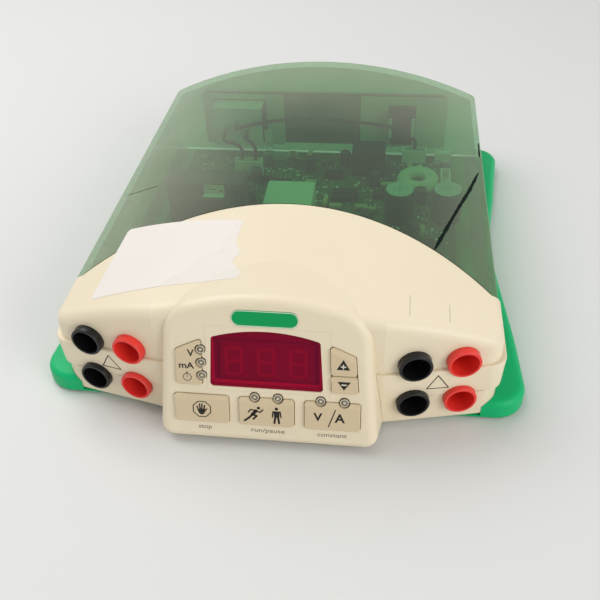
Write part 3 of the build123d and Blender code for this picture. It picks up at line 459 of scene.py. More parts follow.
def flat_piece(name, outlines, place, lift, thick, material, body):
    """Thin prisms over flat outlines, such as ink or foil, as one mesh."""
    made = bmesh.new()
    for outline in outlines:
        low = [made.verts.new(place(x, up, lift)) for x, up in outline]
        high = [made.verts.new(place(x, up, lift + thick)) for x, up in outline]
        made.faces.new(low[::-1])
        made.faces.new(high)
        for i in range(len(outline)):
            j = (i + 1) % len(outline)
            made.faces.new((low[i], low[j], high[j], high[i]))
    return finish_piece(name, made, material, body)


def disc(x, y, radius, count=20):
    """Outline of a dot."""
    turns = [2 * math.pi * i / count for i in range(count)]
    return [(x + radius * math.cos(turn), y + radius * math.sin(turn)) for turn in turns]


def stroke(points, width, closed=False):
    """Outlines of a line of even width: a quad for each run and a dot at each corner."""
    pairs = list(zip(points, points[1:] + points[:1] if closed else points[1:]))
    shapes = []
    for (ax, ay), (bx, by) in pairs:
        length = math.hypot(bx - ax, by - ay)
        dx, dy = -(by - ay) / length * width / 2, (bx - ax) / length * width / 2
        shapes.append([(ax + dx, ay + dy), (ax - dx, ay - dy), (bx - dx, by - dy), (bx + dx, by + dy)])
    shapes += [disc(x, y, width / 2, 10) for x, y in points]
    return shapes


print("a stroke of two points has", len(stroke([(0, 0), (1, 0)], 0.2)), "outlines")

# %% [markdown]
# ## Letters on the keys and captions under them
# The mode and constant keys carry letters for volts and amperes, and three keys have a caption on the
# console. Letters could be drawn from strokes, but Blender's text object gives even curves. It is
# turned into a mesh at once, laid on the console and put on the key, so that it moves when the key is
# pressed. Its size is set so that a capital has the height that was measured.

# %% A word on the console
FACE_TURN = Matrix((Vector((1, 0, 0)), UP, OUT)).transposed().to_4x4()
CAPITAL_SHARE = 0.69


def letters(name, text, x, up, height, lift, material, body, slot, stretch=1.0, weight=0.0):
    """Flat letters on the console, centred on a point; height is that of a capital."""
    curve = bpy.data.curves.new(name, "FONT")
    curve.body = text
    curve.align_x = "CENTER"
    curve.align_y = "CENTER"
    curve.size = height / CAPITAL_SHARE * MM
    curve.extrude = 0.02 * MM
    curve.offset = weight * MM
    curve.resolution_u = 4
    source = bpy.data.objects.new(name + "_text", curve)
    bpy.context.scene.collection.objects.link(source)
    bpy.context.view_layer.update()
    mesh = bpy.data.meshes.new_from_object(source)
    bpy.data.objects.remove(source)
    turn = FACE_TURN @ Matrix.Diagonal((stretch, 1, 1, 1))
    mesh.transform(Matrix.Translation(on_face(x, up, lift)) @ turn)
    mesh.name = name
    return ride_on(name, mesh, material, body)


KEY_INK = KEY_PROUD + INK_LIFT
print("letters are laid", KEY_INK, "mm above the console")

# %% Letters and captions
WORDS = [
    ("mode_v", "V", -29.0, 39.2, 2.9, KEY_INK, ink, "mode_key", "key", 1.0, 0.07),
    ("mode_ma", "mA", -31.05, 33.7, 2.6, KEY_INK, ink, "mode_key", "key", 1.12, 0.07),
    ("constant_v", "V", 20.4, 13.9, 3.4, KEY_INK, ink, "constant_key", "key", 1.05, 0.14),
    ("constant_a", "A", 29.0, 13.8, 3.8, KEY_INK, ink, "constant_key", "key", 1.0, 0.14),
    ("stop_word", "stop", -25.25, 5.25, 1.9, INK_LIFT, pale_ink, "case", "moulding", 1.15, 0.02),
    ("run_word", "run/pause", 0.27, 5.2, 1.9, INK_LIFT, pale_ink, "case", "moulding", 1.27, 0.02),
    ("constant_word", "constant", 25.95, 5.15, 1.9, INK_LIFT, pale_ink, "case", "moulding", 1.23, 0.02),
]
for word in WORDS:
    letters(*word)
print("words and letters", len(WORDS))

# %% [markdown]
# ## Signs on the keys
# The rest of the signs are drawn from dots, strokes and simple outlines: a clock, a slash, an
# eight-sided sign with a raised hand, a running and a standing figure, and two arrows with plus and
# minus. Each list of numbers gives places on the console, in millimetres, and then a width.

# %% Clock and slash
KEY_FILM = 0.03
clock = stroke(disc(-30.9, 28.6, 1.6, 18), 0.26, closed=True)
clock += stroke([(-30.9, 28.6), (-30.9, 29.5)], 0.24) + stroke([(-30.9, 30.3), (-30.9, 30.8)], 0.5)
flat_piece("mode_clock", clock, on_face, KEY_INK, KEY_FILM, ink, "mode_key")

slash = stroke([(24.6, 9.9), (27.25, 17.7)], 0.42)
flat_piece("constant_slash", slash, on_face, KEY_INK, KEY_FILM, ink, "constant_key")
print("clock shapes", len(clock), "slash shapes", len(slash))

# %% Stop sign with a hand
SIGN_X, SIGN_UP, SIGN_RADIUS = -25.85, 14.2, 3.8
octagon = disc(0, 0, SIGN_RADIUS, 16)[1::2]
octagon = [(SIGN_X + x, SIGN_UP + up) for x, up in octagon]
hand = [[(-27.7, 13.9), (-27.1, 12.2), (-26.5, 11.7), (-25.4, 11.7),
         (-24.9, 12.3), (-24.5, 14.1), (-26.0, 14.5)]]
fingers = [((-27.3, 13.8), (-27.8, 15.4)), ((-26.6, 14.1), (-26.7, 16.5)),
           ((-25.9, 14.1), (-25.7, 16.6)), ((-25.1, 14.0), (-24.7, 15.9)),
           ((-24.8, 13.2), (-23.9, 14.4))]
for base, tip in fingers:
    hand += stroke([base, tip], 0.56)
flat_piece("stop_sign", stroke(octagon, 0.36, closed=True) + hand, on_face, KEY_INK, KEY_FILM, ink,
           "stop_key")
print("fingers", len(fingers))

# %% Running and standing figures
runner = [disc(-3.05, 16.4, 0.66)]
for line, width in (([(-4.1, 15.0), (-5.5, 13.3)], 1.4),
                    ([(-5.3, 13.2), (-3.8, 12.7), (-5.2, 11.2)], 0.8),
                    ([(-5.6, 13.1), (-6.9, 11.7), (-8.7, 10.2)], 0.85),
                    ([(-3.9, 15.1), (-2.5, 14.4), (-1.3, 15.7)], 0.55),
                    ([(-4.3, 15.3), (-6.2, 15.5), (-7.1, 14.3)], 0.55)):
    runner += stroke(line, width)
standing = [disc(4.1, 16.5, 0.68), [(2.95, 15.4), (3.15, 12.6), (5.15, 12.6), (5.35, 15.4)]]
for line, width in (([(3.6, 12.8), (3.2, 9.9)], 0.85),
                    ([(4.7, 12.8), (5.05, 9.95)], 0.85),
                    ([(2.75, 15.2), (2.45, 12.6)], 0.55),
                    ([(5.55, 15.2), (5.85, 12.7)], 0.55)):
    standing += stroke(line, width)
flat_piece("run_figures", runner + standing, on_face, KEY_INK, KEY_FILM, ink, "run_key")
print("figure shapes", len(runner), len(standing))

# %% Arrows with plus and minus
flat_piece("plus_arrow", [[(27.4, 35.8), (32.5, 35.8), (29.95, 40.2)]], on_face, KEY_INK, KEY_FILM, ink,
           "plus_key")
flat_piece("minus_arrow", [[(27.8, 30.6), (30.35, 26.9), (32.9, 30.6)]], on_face, KEY_INK, KEY_FILM, ink,
           "minus_key")
plus = stroke([(29.1, 37.2), (30.8, 37.2)], 0.46) + stroke([(29.95, 36.35), (29.95, 38.05)], 0.46)
minus = stroke([(29.5, 29.3), (31.2, 29.3)], 0.5)
flat_piece("plus_mark", plus, on_face, KEY_INK + KEY_FILM, KEY_FILM, white_ink, "plus_key")
flat_piece("minus_mark", minus, on_face, KEY_INK + KEY_FILM, KEY_FILM, white_ink, "minus_key")
print("arrow marks", len(plus), len(minus))

# %% [markdown]
# ## Lamp bezels
# Each indicator lamp is a clear dome with a pale bezel ring and, in its middle, a tiny pale ring that
# paints in the dome's highlight. The CAD has the domes. A ring could be a torus object turned into
# place, but all the rings are one piece here, so they are worked out point by point on the console's
# plane: a small circle swept round each lamp.

# %% A ring on the console


def ring(made, x, up, lift, radius, thick, around=24, across=8):
    """Add a ring of round section that lies on the console's plane."""
    loops = []
    for i in range(around):
        turn = 2 * math.pi * i / around
        loop = []
        for j in range(across):
            tube = 2 * math.pi * j / across
            reach = radius + thick * math.cos(tube)
            loop.append(made.verts.new(on_face(x + reach * math.cos(turn), up + reach * math.sin(turn),
                                               lift + thick * math.sin(tube))))
        loops.append(loop)
    for i in range(around):
        for j in range(across):
            k, m = (i + 1) % around, (j + 1) % across
            made.faces.new((loops[i][j], loops[k][j], loops[k][m], loops[i][m]))


LAMPS = [(-25.2, 40.8), (-25.2, 35.1), (-25.2, 29.4), (-4.6, 20.9), (4.6, 20.9),
         (21.4, 20.9), (30.6, 20.9)]
print("lamps", len(LAMPS))

# %% Bezels and painted highlights
# Bezels are a pale moulded resin, smooth enough to catch a highlight all round
bezel_resin = moulded("pale_moulded_bezel", "D8CFBB", "CFC5AE", 0.35, 0.8, 0.01)
made = bmesh.new()
for x, up in LAMPS:
    ring(made, x, up, 0.62, 1.5, 0.2)
finish_piece("lamp_bezels", made, bezel_resin, "case").data.shade_smooth()
# Painted highlight: a tiny pale ring at the top of each dome, in the bezels' resin
made = bmesh.new()
for x, up in LAMPS:
    ring(made, x, up, 0.74, 0.3, 0.24, 14)
finish_piece("lamp_highlight_rings", made, bezel_resin, "case").data.shade_smooth()
print("rings", 2 * len(LAMPS))

# %% [markdown]
# ## The badge's edge
# The badge is a long plate with round ends. Its pale edge is one line drawn round it: a half circle
# at the right, and the same one mirrored at the left.

# %% Badge edge
BADGE_LIFT = 0.21
HALF_LONG, HALF_HIGH, BADGE_UP = 9.6, 3.1, 54.9
right_end = [math.radians(a) for a in range(-90, 91, 15)]
edge_line = [(HALF_LONG + HALF_HIGH * math.cos(a), BADGE_UP + HALF_HIGH * math.sin(a)) for a in right_end]
edge_line += [(-x, up) for x, up in edge_line[::-1]]
flat_piece("badge_edge", stroke(edge_line, 0.32, closed=True), on_face, BADGE_LIFT, 0.03, badge_edge,
           "case")
print("points round the badge", len(edge_line))

# %% [markdown]
# ## The display
# Behind the red window stand three numeral blocks. Each has seven bars and a dot cast in a lighter
# red resin. They are off, so they only show as a faint figure of eight. Lit bars would be a light of
# their own, but unlit ones are only a slightly paler resin, so a colour is enough. The window dims
# and reddens what lies behind it, which is why the colours here are stronger than they look.

# %% Resins behind the window
# Bars: a paler red than the face of the numeral block
segment_resin = moulded("red_segment_resin", "D8485E", "CC4056", 0.5, 1.0, 0.01, sheen=0.2)
digit_resin = moulded("dark_red_digit_face", "8E2038", "861C34", 0.6, 1.0, 0.01, sheen=0.2)
# Rim: the window's own acrylic, with a painted highlight where its sill catches the light
rim_highlight_resin = moulded("painted_highlight_window_rim", "E0508C", "D64882", 0.5, 1.0, 0.01, sheen=0.2)
# Painted shadow: nearly black strips for the shade in the gaps beside and above the numeral blocks
gap_shadow_resin = moulded("painted_shadow_display_gaps", "1C0008", "240008", 0.7, 1.0, 0.01, sheen=0.1)
nodes["display_digits"].data.materials[0] = digit_resin
MASK_LIFT = -3.9
print("mask lies", -MASK_LIFT, "mm behind the face")

# %% Backing and numeral bars


def bar(ax, ay, bx, by, width):
    """A numeral's bar with pointed ends."""
    length = math.hypot(bx - ax, by - ay)
    ux, uy = (bx - ax) / length, (by - ay) / length
    half = width / 2
    return [(ax, ay), (ax + ux * half - uy * half, ay + uy * half + ux * half),
            (bx - ux * half - uy * half, by - uy * half + ux * half), (bx, by),
            (bx - ux * half + uy * half, by - uy * half - ux * half),
            (ax + ux * half + uy * half, ay + uy * half - ux * half)]


backing = [(-22.4, 24.4), (22.4, 24.4), (21.2, 46.2), (12.0, 48.6), (0.0, 49.6), (-12.0, 48.6),
           (-21.2, 46.2)]
flat_piece("display_backing", [backing], on_face, MASK_LIFT, 0.05, digit_resin, "case")
LOW, CENTRE, HIGH = 28.4, 34.2, 40.0
bars = []
for middle in (-13.2, -0.4, 12.2):
    left, right = middle - 3.0, middle + 3.0
    for run in ((left, LOW, right, LOW), (left, CENTRE, right, CENTRE), (left, HIGH, right, HIGH),
                (left, LOW, left, CENTRE), (left, CENTRE, left, HIGH),
                (right, LOW, right, CENTRE), (right, CENTRE, right, HIGH)):
        bars.append(bar(*run, 1.3))
    bars.append(disc(middle + 4.8, 28.2, 0.6, 14))
flat_piece("numeral_bars", bars, on_face, MASK_LIFT + 0.06, 0.05, segment_resin, "case")
print("bars and dots", len(bars))

# %% [markdown]
# ## Painted shadow and highlight in the window
# Painted shadow stands close round the numerals: nearly black strips for the shade in the gaps beside
# and above the numeral blocks. The window's own thick edge shows as a brighter band inside it, a
# painted highlight. Both are flat strips at their own depth, which is enough, because the camera only
# sees them through the red.

# %% Painted shadow and highlight
# Painted shadow in the gaps at the sides and top of the numerals
gap_shadow_strips = [[(-19.7, 26.6), (-18.7, 26.6), (-18.3, 43.6), (-19.3, 43.6)],
         [(19.0, 26.6), (20.2, 26.6), (19.8, 43.6), (18.6, 43.6)],
         [(-18.4, 43.7), (18.6, 43.7), (18.6, 44.1), (-18.4, 44.1)]]
flat_piece("display_gap_shadows", gap_shadow_strips, on_face, -3.0, 0.06, gap_shadow_resin, "case")
# Painted highlight along the window's sill
sills = [[(-22.0, 24.7), (22.0, 24.7), (20.6, 26.3), (-20.6, 26.3)],
         [(20.6, 26.4), (22.0, 24.9), (21.0, 45.6), (20.5, 44.4)],
         [(-22.0, 24.9), (-20.9, 26.4), (-20.7, 44.4), (-21.1, 45.6)]]
flat_piece("window_sills", sills, on_face, -2.6, 0.06, rim_highlight_resin, "case")
print("strips", len(gap_shadow_strips) + len(sills))

# %% [markdown]
# ## The clear film round the window
# A thin protective film covers the window and a little of the face around it. The film itself can't
# be seen. Only its cut edge shows, as a hairline a shade darker than the moulding, so the edge is all
# that is drawn.

# %% Film edge
# Film edge: a hairline of slightly darker cream, a little glossier than ABS
film_edge = moulded("clear_film_edge", "DCCFB4", "D6C8AB", 0.4, 0.8, 0.004)
film_line = [(-23.3, 23.0), (25.2, 23.0), (25.2, 50.9), (-23.3, 51.1)]
flat_piece("window_film_edge", stroke(film_line, 0.14, closed=True), on_face, 0.01, 0.03, film_edge,
           "case")
print("corners of the film", len(film_line))

# %% [markdown]
# ## Printing on the vault
# The hood and the cover together form a vault, a wide arch from left to right. Print on it could be
# placed by the arch's circle, as the narrow shade of the seam is. But the CAD's mesh is made of flat
# facets, and paper or ink laid on the true circle would dip under them here and there. So they are
# dropped onto the mesh itself: a ray goes straight down, and the place where it hits gives the point
# and the way out of the surface.

# %% The vault's circle
VAULT_TOP = 61.8
VAULT_RADIUS = 211.54
VAULT_CENTRE = VAULT_TOP - VAULT_RADIUS


def on_vault(x, y, lift=0.0):
    """A point on the vault, in metres."""
    radius = VAULT_RADIUS + lift
    return Vector((x, y, VAULT_CENTRE + math.sqrt(radius**2 - x**2))) * MM


print("top of the vault at", round(on_vault(0, 0).z, 4))

# %% A search tree for each shell


def surface_of(name):
    """A search tree over a CAD node's faces."""
    mesh = nodes[name].data
    corners = [v.co.copy() for v in mesh.vertices]
    return BVHTree.FromPolygons(corners, [tuple(p.vertices) for p in mesh.polygons])


shells = [surface_of("front_hood"), surface_of("top_cover")]
print("shells to print on", len(shells))

# %% A point seen from above
# Rays start this high, in metres, and a hit this far below the vault, in millimetres, doesn't count
SKY = 0.1
DEEPEST = 2.0


def on_shell(x, y, lift=0.0):
    """A point on the hood or the cover, found by looking straight down, in metres."""
    place = on_vault(x, y, lift)
    start = Vector((x * MM, y * MM, SKY))
    for shell in shells:
        hit, normal = shell.ray_cast(start, Vector((0, 0, -1)))[:2]
        if hit is not None and hit.z > place.z - DEEPEST * MM:
            return hit + normal * (lift * MM)
    return place


print("seen from above, the vault's middle is at", round(on_shell(0, 0).z, 4))

# %% [markdown]
# ## A thin sheet
# Paper, ink lines and the shade of the seam are all thin sheets between two edge lines. Each edge is
# a function from the front, 0, to the rear, 1, so that the same code makes a torn label and a pen
# stroke. A single layer of faces would do for the picture, but the sheet gets an underside and a rim,
# so it is a closed body that can be measured and exported.

# %% A sheet on the vault


def sheet_on_vault(name, left, right, columns, rows, lift, thick, material, place=on_vault):
    """A thin sheet between a left and a right edge line, each a function of 0 to 1 from front to rear."""
    made = bmesh.new()
    layers = []
    for level in (lift, lift + thick):
        grid = []
        for r in range(rows + 1):
            v = r / rows
            (ax, ay), (bx, by) = left(v), right(v)
            row = [(ax + (bx - ax) * c / columns, ay + (by - ay) * c / columns) for c in range(columns + 1)]
            grid.append([made.verts.new(place(x, y, level)) for x, y in row])
        layers.append(grid)
    low, high = layers
    for r in range(rows):
        for c in range(columns):
            made.faces.new((high[r][c], high[r][c + 1], high[r + 1][c + 1], high[r + 1][c]))
            made.faces.new((low[r][c], low[r + 1][c], low[r + 1][c + 1], low[r][c + 1]))
    rim = [(0, c) for c in range(columns)] + [(r, columns) for r in range(rows)]
    rim += [(rows, c) for c in range(columns, 0, -1)] + [(r, 0) for r in range(rows, 0, -1)]
    for (ra, ca), (rb, cb) in zip(rim, rim[1:] + rim[:1]):
        made.faces.new((low[ra][ca], low[rb][cb], high[rb][cb], high[ra][ca]))
    return finish_piece(name, made, material, "case")


print("helper for sheets ready")

# %% [markdown]
# ## Two layers of torn paper
# Someone tore at the label, so its right end is ragged, and the glossy top layer has come away over
# the right third, which leaves the dull fibres below. Both are sheets between a left and a right
# edge line. The lines are a few points read along the label, joined straight, with a fine raggedness
# added where the paper is torn. It comes from a fixed seed, so that each run tears the paper in the
# same way.

# %% Edge lines of the label
random.seed(7)


def along(points, v):
    """A point on an open line of corners, with v from 0 to 1 shared evenly between the runs."""
    spot = min(v, 0.99999) * (len(points) - 1)
    k = int(spot)
    share = spot - k
    (ax, ay), (bx, by) = points[k], points[k + 1]
    return ax + (bx - ax) * share, ay + (by - ay) * share


TEAR = [(-13.6, -92.2), (-11.7, -88.1), (-17.4, -79.6), (-15.1, -73.0), (-18.3, -66.0), (-18.4, -57.2),
        (-17.4, -49.9)]
LEFT_EDGE = [(-74.0, -92.6), (-75.0, -91.2), (-74.4, -71.3), (-73.2, -45.2), (-72.0, -43.6)]
PEEL = [(-45.0, -92.4), (-40.0, -87.0), (-35.0, -83.0), (-31.0, -76.0), (-24.0, -71.5), (-22.5, -62.0),
        (-19.4, -49.9)]
LABEL_ROWS = 60
ragged = [random.uniform(-0.35, 0.35) for _ in range(LABEL_ROWS + 1)]
print("steps along the tear", len(ragged))

# %% The label


def label_left(v):
    """The straight left edge."""
    return along(LEFT_EDGE, v)


def label_torn(v):
    """The torn right end."""
    x, y = along(TEAR, v)
    return x + ragged[int(v * LABEL_ROWS)], y


def label_peel(v):
    """Where the glossy layer ends, torn twice as roughly and not in step with the other edge."""
    x, y = along(PEEL, v)
    return x + 2 * ragged[LABEL_ROWS - int(v * LABEL_ROWS)], y


sheet_on_vault("paper_label", label_left, label_torn, 50, LABEL_ROWS, 0.03, 0.09, peeled_paper,
               on_shell)
sheet_on_vault("paper_label_face", label_left, label_peel, 50, LABEL_ROWS, 0.12, 0.05, white_paper,
               on_shell)
print("half-way up, the label runs from x", label_left(0.5)[0], "to", round(label_torn(0.5)[0], 1))

# %% [markdown]
# ## Two fine rules
# Right of the label, two short upright rules are printed on the hood, in an ink only a little darker
# than the plastic. Each is a sheet with parallel edges.

# %% Rules
RULE_HALF = 0.14


def upright(x, front, back):
    """An edge line that runs straight from front to back."""
    return lambda v: (x, front + (back - front) * v)


for n, (x, front, back) in enumerate(((53.75, -99.6, -87.4), (69.2, -96.6, -86.5))):
    sheet_on_vault(f"rule_{n}", upright(x - RULE_HALF, front, back), upright(x + RULE_HALF, front, back),
                   1, 12, 0.02, 0.03, rule_ink, on_shell)
print("rules printed")

# %% [markdown]
# ## The joint along the seam
# The cover meets the hood with a hair's breadth between them, which reads as a dark line along the
# arched seam. A wider gap would show by itself, but it would spoil the fit of the CAD. So a thin dark
# ribbon on the cover's edge stands for that shade. The seam is an arc in plan.

# %% Seam shade
SEAM_BACK_Y = -37.3
SEAM_RADIUS = 130.0
SEAM_CENTRE_Y = SEAM_BACK_Y - SEAM_RADIUS
SEAM_GAP = 0.15
SEAM_REACH = SEAM_RADIUS + SEAM_GAP
SEAM_HALF_TURN = 41.8


def seam_line(offset):
    """Points of the arched seam from left to right, moved back by an offset."""
    def edge(v):
        turn = math.radians(-SEAM_HALF_TURN + 2 * SEAM_HALF_TURN * v)
        reach = SEAM_REACH + offset
        return reach * math.sin(turn), SEAM_CENTRE_Y + reach * math.cos(turn)
    return edge


sheet_on_vault("seam_shade", seam_line(0.0), seam_line(0.42), 1, 96, 0.015, 0.02, gap_shade_and_faint_ink)
print("seam shade ends at x", round(seam_line(0.0)(1.0)[0], 2))

# %% [markdown]
# ## Stray marker lines
# Pen lines cross the cover: a bold one at the right, which stops and starts again further back, and a
# faint one at the left. A pen stroke isn't an even band. It thins towards its ends and its width
# wavers with the hand, which a little noise from the same fixed seed gives.

# %% Marker lines
# Steps in each run, how far before and behind the way is read, and the share of the width at a tip
STEPS_A_RUN, LOOK, TIP = 12, 0.02, 0.35


def marker(name, points, width, material):
    """A pen stroke on the vault, uneven along its length and thinner at its ends."""
    count = STEPS_A_RUN * (len(points) - 1)
    wobble = [random.uniform(0.72, 1.15) for _ in range(count + 1)]

    def side(sign):
        def edge(v):
            x, y = along(points, v)
            nx, ny = along(points, min(1.0, v + LOOK))
            px, py = along(points, max(0.0, v - LOOK))
            length = math.hypot(nx - px, ny - py)
            taper = min(1.0, TIP + 8 * min(v, 1 - v))
            half = width / 2 * taper * wobble[int(v * count)] * sign
            return x - (ny - py) / length * half, y + (nx - px) / length * half
        return edge
    sheet_on_vault(name, side(1), side(-1), 2, count, 0.02, 0.02, material, on_shell)


marker("marker_line", [(63.7, -53.2), (69.3, -34.5), (75.1, -15.2), (81.6, 5.4), (87.0, 25.6)], 1.6,
       marker_ink)
marker("marker_line_end", [(88.6, 43.0), (88.8, 50.0), (89.0, 58.0)], 1.0, marker_ink)
marker("faint_marker_line", [(-86.6, -6.7), (-80.7, -7.9), (-74.2, -8.0), (-68.4, -7.8)], 0.55, gap_shade_and_faint_ink)
print("marker lines drawn")

# %% [markdown]
# ## Plain triangles between the sockets
# On each jack face a fine printed triangle stands between the two columns of sockets. The face is
# splayed and tapered, so working out its slope would be slow. Each corner of the strokes is dropped
# onto the moulding by shooting a ray at the face from the front.
#
# The joint between the band and the sill below it gets its shade in the same way, in short runs
# between the sockets.

# %% Triangles and the shade of the parting line
SPLAY = math.radians(12.2)
IN_FRONT = -130.0
ABOVE_JOINT = 0.22
JOINT_STEP = 1.5
SOCKETS_X, SOCKET_ROOM = (55.2, 73.8), 8.2
# The shade is a darker cream, as in a narrow groove between two cream mouldings
joint_shade = moulded("shaded_moulding_joint", "A8946E", "9F8B66", 0.7, 0.8, 0.01, sheen=0.2)
for hand, side, corners in (("left", -1, [(-67.8, 28.6), (-71.7, 21.5), (-63.4, 21.4)]),
                            ("right", 1, [(66.3, 28.9), (62.2, 21.6), (70.8, 21.4)])):
    tree_of_band = surface_of(f"{hand}_band")
    out_way = Vector((side * math.sin(SPLAY), -math.cos(SPLAY), 0))

    def on_band(x, z, lift, finder=tree_of_band, way=out_way):
        """A point on the band in front of a place given by x and z, in metres."""
        start = Vector((x, IN_FRONT, z)) * MM
        hit = finder.ray_cast(start, Vector((0, 1, 0)))[0]
        return hit + way * (lift * MM)

    flat_piece(f"{hand}_triangle", stroke(corners, 0.42, closed=True), on_band, 0.02, 0.03, ink,
               "case")
    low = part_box(f"{hand}_band")[0].z / MM + ABOVE_JOINT
    joint = [(side * (46.0 + JOINT_STEP * k), low) for k in range(27)]
    joint = [spot for spot in joint if all(abs(abs(spot[0]) - x) > SOCKET_ROOM for x in SOCKETS_X)]
    runs = [stroke([a, b], 0.26) for a, b in zip(joint, joint[1:]) if abs(a[0] - b[0]) < 1.5 * JOINT_STEP]
    flat_piece(f"{hand}_parting_shade", [run[0] for run in runs], on_band, 0.08, 0.03, joint_shade,
               "case")
print("runs of the parting line on one side", len(runs))

# %% [markdown]
# ## Free places on the circuit board
# A board of this kind carries hundreds of parts that are too small for the CAD model. Before they can
# be strewn, the script has to know where the board is free. A CAD node such as the resistors holds
# many solids, and one box round all of them would cover half the board. So the mesh is split into
# islands: points that share a place or an edge belong together, and each island gets a box in plan.

# %% Islands of a mesh
BOARD_TOP = 12.0
board_low, board_high = [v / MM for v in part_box("main_board")]


def islands(name):
    """Plan boxes, in millimetres, of the separate solids inside one CAD node."""
    mesh = nodes[name].data
    group = list(range(len(mesh.vertices)))

    def root(i):
        while group[i] != i:
            group[i] = group[group[i]]
            i = group[i]
        return i

    spots = {}
    for i, v in enumerate(mesh.vertices):
        same = spots.setdefault(tuple(round(c, 6) for c in v.co), i)
        group[root(i)] = root(same)
    for edge in mesh.edges:
        group[root(edge.vertices[0])] = root(edge.vertices[1])
    boxes = {}
    for i, v in enumerate(mesh.vertices):
        x, y = v.co.x / MM, v.co.y / MM
        box = boxes.setdefault(root(i), [x, y, x, y])
        box[0], box[1], box[2], box[3] = min(box[0], x), min(box[1], y), max(box[2], x), max(box[3], y)
    return list(boxes.values())


STANDING = ["connectors", "resistors", "small_capacitors", "chips", "fuse_clips", "fuse", "relay",
            "power_transistors", "heat_sink", "toroid_choke", "filter_capacitors", "air_duct",
            "transformer_base", "board_screws"]
taken = [box for name in STANDING for box in islands(name)]
print("parts on the board", len(taken))

# %% [markdown]
# ## Asking whether a place is free
# A small part may be placed only where it keeps clear of every box and of the board's edge. With a
# few hundred boxes, asking each of them in turn is quick enough, and simpler than a search tree.

# %% Placing on the board
EDGE_ROOM = 3


def free(x, y, room):
    """Whether a place on the board has no part within a distance."""
    inside = (board_low[0] + EDGE_ROOM < x < board_high[0] - EDGE_ROOM
              and board_low[1] + EDGE_ROOM < y < board_high[1] - EDGE_ROOM)
    return inside and not any(a - room < x < c + room and b - room < y < d + room for a, b, c, d in taken)


def on_board(x, y, lift):
    """A point above the board, in metres."""
    return Vector((x, y, BOARD_TOP + lift)) * MM


def plate(x, y, long, wide):
    """Outline of an upright rectangle about a point."""
    return [(x - long / 2, y - wide / 2), (x + long / 2, y - wide / 2), (x + long / 2, y + wide / 2),
            (x - long / 2, y + wide / 2)]


print("is the middle of the board free?", free(0, 0, 1.0))

# %% [markdown]
# ## Solder points
# Tinned joints shine like small beads. They sit on the usual grid of 2.54 by 1.27 mm, because the
# legs of real parts do. Each of 900 tries takes a random place, and those on a part are dropped.

# %% Solder points
# Solder: bright tin, a little dulled by flux
solder = moulded("tin_lead_solder", "D9DCD8", "C8CCC8", 0.3, 0.6, 0.01, metallic=0.4)
# Solder mask over copper: a lighter green than over bare board
track_mask = moulded("solder_mask_over_copper", "1F8A4E", "1A7C45", 0.35, 2.0, 0.01)
# Fired ceramic: the pale body of a chip part
chip_ceramic = moulded("fired_chip_ceramic", "E6E2D2", "D8D3C0", 0.5, 0.6, 0.01)
ON_BOARD_X, ON_BOARD_Y = (-74, 74), (-66, 90)
points = []
random.seed(21)
for _ in range(900):
    x = round(random.uniform(*ON_BOARD_X) / 2.54) * 2.54
    y = round(random.uniform(*ON_BOARD_Y) / 1.27) * 1.27
    if free(x, y, 0.9):
        points.append(disc(x, y, random.uniform(0.4, 0.62), 8))
print("solder points", len(points))

# %% [markdown]
# ## Chip parts
# A chip resistor or capacitor is a ceramic block of 2 by 1.25 or 1.6 by 0.8 mm with a tinned cap at
# each end. The caps are a little lower than the block, which reads as three bands from above.

# %% Chip parts
chips, bodies_of_chips = [], []
for _ in range(420):
    x, y = random.uniform(*ON_BOARD_X), random.uniform(*ON_BOARD_Y)
    if not free(x, y, 1.6):
        continue
    long, wide = random.choice(((2.0, 1.25), (1.6, 0.8), (1.25, 2.0), (0.8, 1.6)))
    if long > wide:
        chips += [plate(x - long / 2, y, 0.5, wide), plate(x + long / 2, y, 0.5, wide)]
    else:
        chips += [plate(x, y - wide / 2, long, 0.5), plate(x, y + wide / 2, long, 0.5)]
    bodies_of_chips.append(plate(x, y, long, wide))
print("chip parts", len(bodies_of_chips))

# %% [markdown]
# ## Tracks
# Copper tracks run straight or at 45 degrees. Each starts at a random place and grows a millimetre at
# a time until it meets a part or is 26 mm long, and the short ones are dropped. True tracks join up
# their parts, but under a smoked cover only their direction and their rhythm can be seen.

# %% Tracks
LONGEST, SHORTEST = 26, 4
tracks = []
for _ in range(170):
    x, y = random.uniform(-72, 72), random.uniform(-64, 88)
    dx, dy = random.choice(((1, 0), (0, 1), (0.7, 0.7), (0.7, -0.7)))
    reach = 0.0
    while reach < LONGEST and free(x + dx * (reach + 1), y + dy * (reach + 1), 0.5):
        reach += 1.0
    if reach > SHORTEST:
        tracks += stroke([(x, y), (x + dx * reach, y + dy * reach)], random.choice((0.35, 0.35, 0.9)))
print("track shapes", len(tracks))

# %% [markdown]
# ## Four pieces for hundreds of parts
# Each small part could be an object of its own, but hundreds of objects would be slow to handle. All
# parts of a kind become one mesh with one finish, which looks the same.

# %% Lay them on the board
flat_piece("solder_points", points, on_board, 0.02, 0.3, solder, "case")
flat_piece("chip_ends", chips, on_board, 0.02, 0.46, solder, "case")
flat_piece("chip_bodies", bodies_of_chips, on_board, 0.02, 0.5, chip_ceramic, "case")
flat_piece("copper_tracks", tracks, on_board, 0.005, 0.03, track_mask, "case")
print("outlines on the board", len(points) + len(chips) + len(bodies_of_chips) + len(tracks))

# %% [markdown]
# ## Tops of the large capacitors
# Two large capacitors catch the eye through the green: their sleeves end in bare aluminium tops with
# a pressed vent cross. The top is a thin disc over the CAD's can, and the cross is two fine strokes.

# %% Capacitor tops
CAN_TOP = 30.0


def at_height(level):
    """A placing function for level outlines, measured from the floor."""
    return lambda x, y, lift: Vector((x, y, level + lift)) * MM


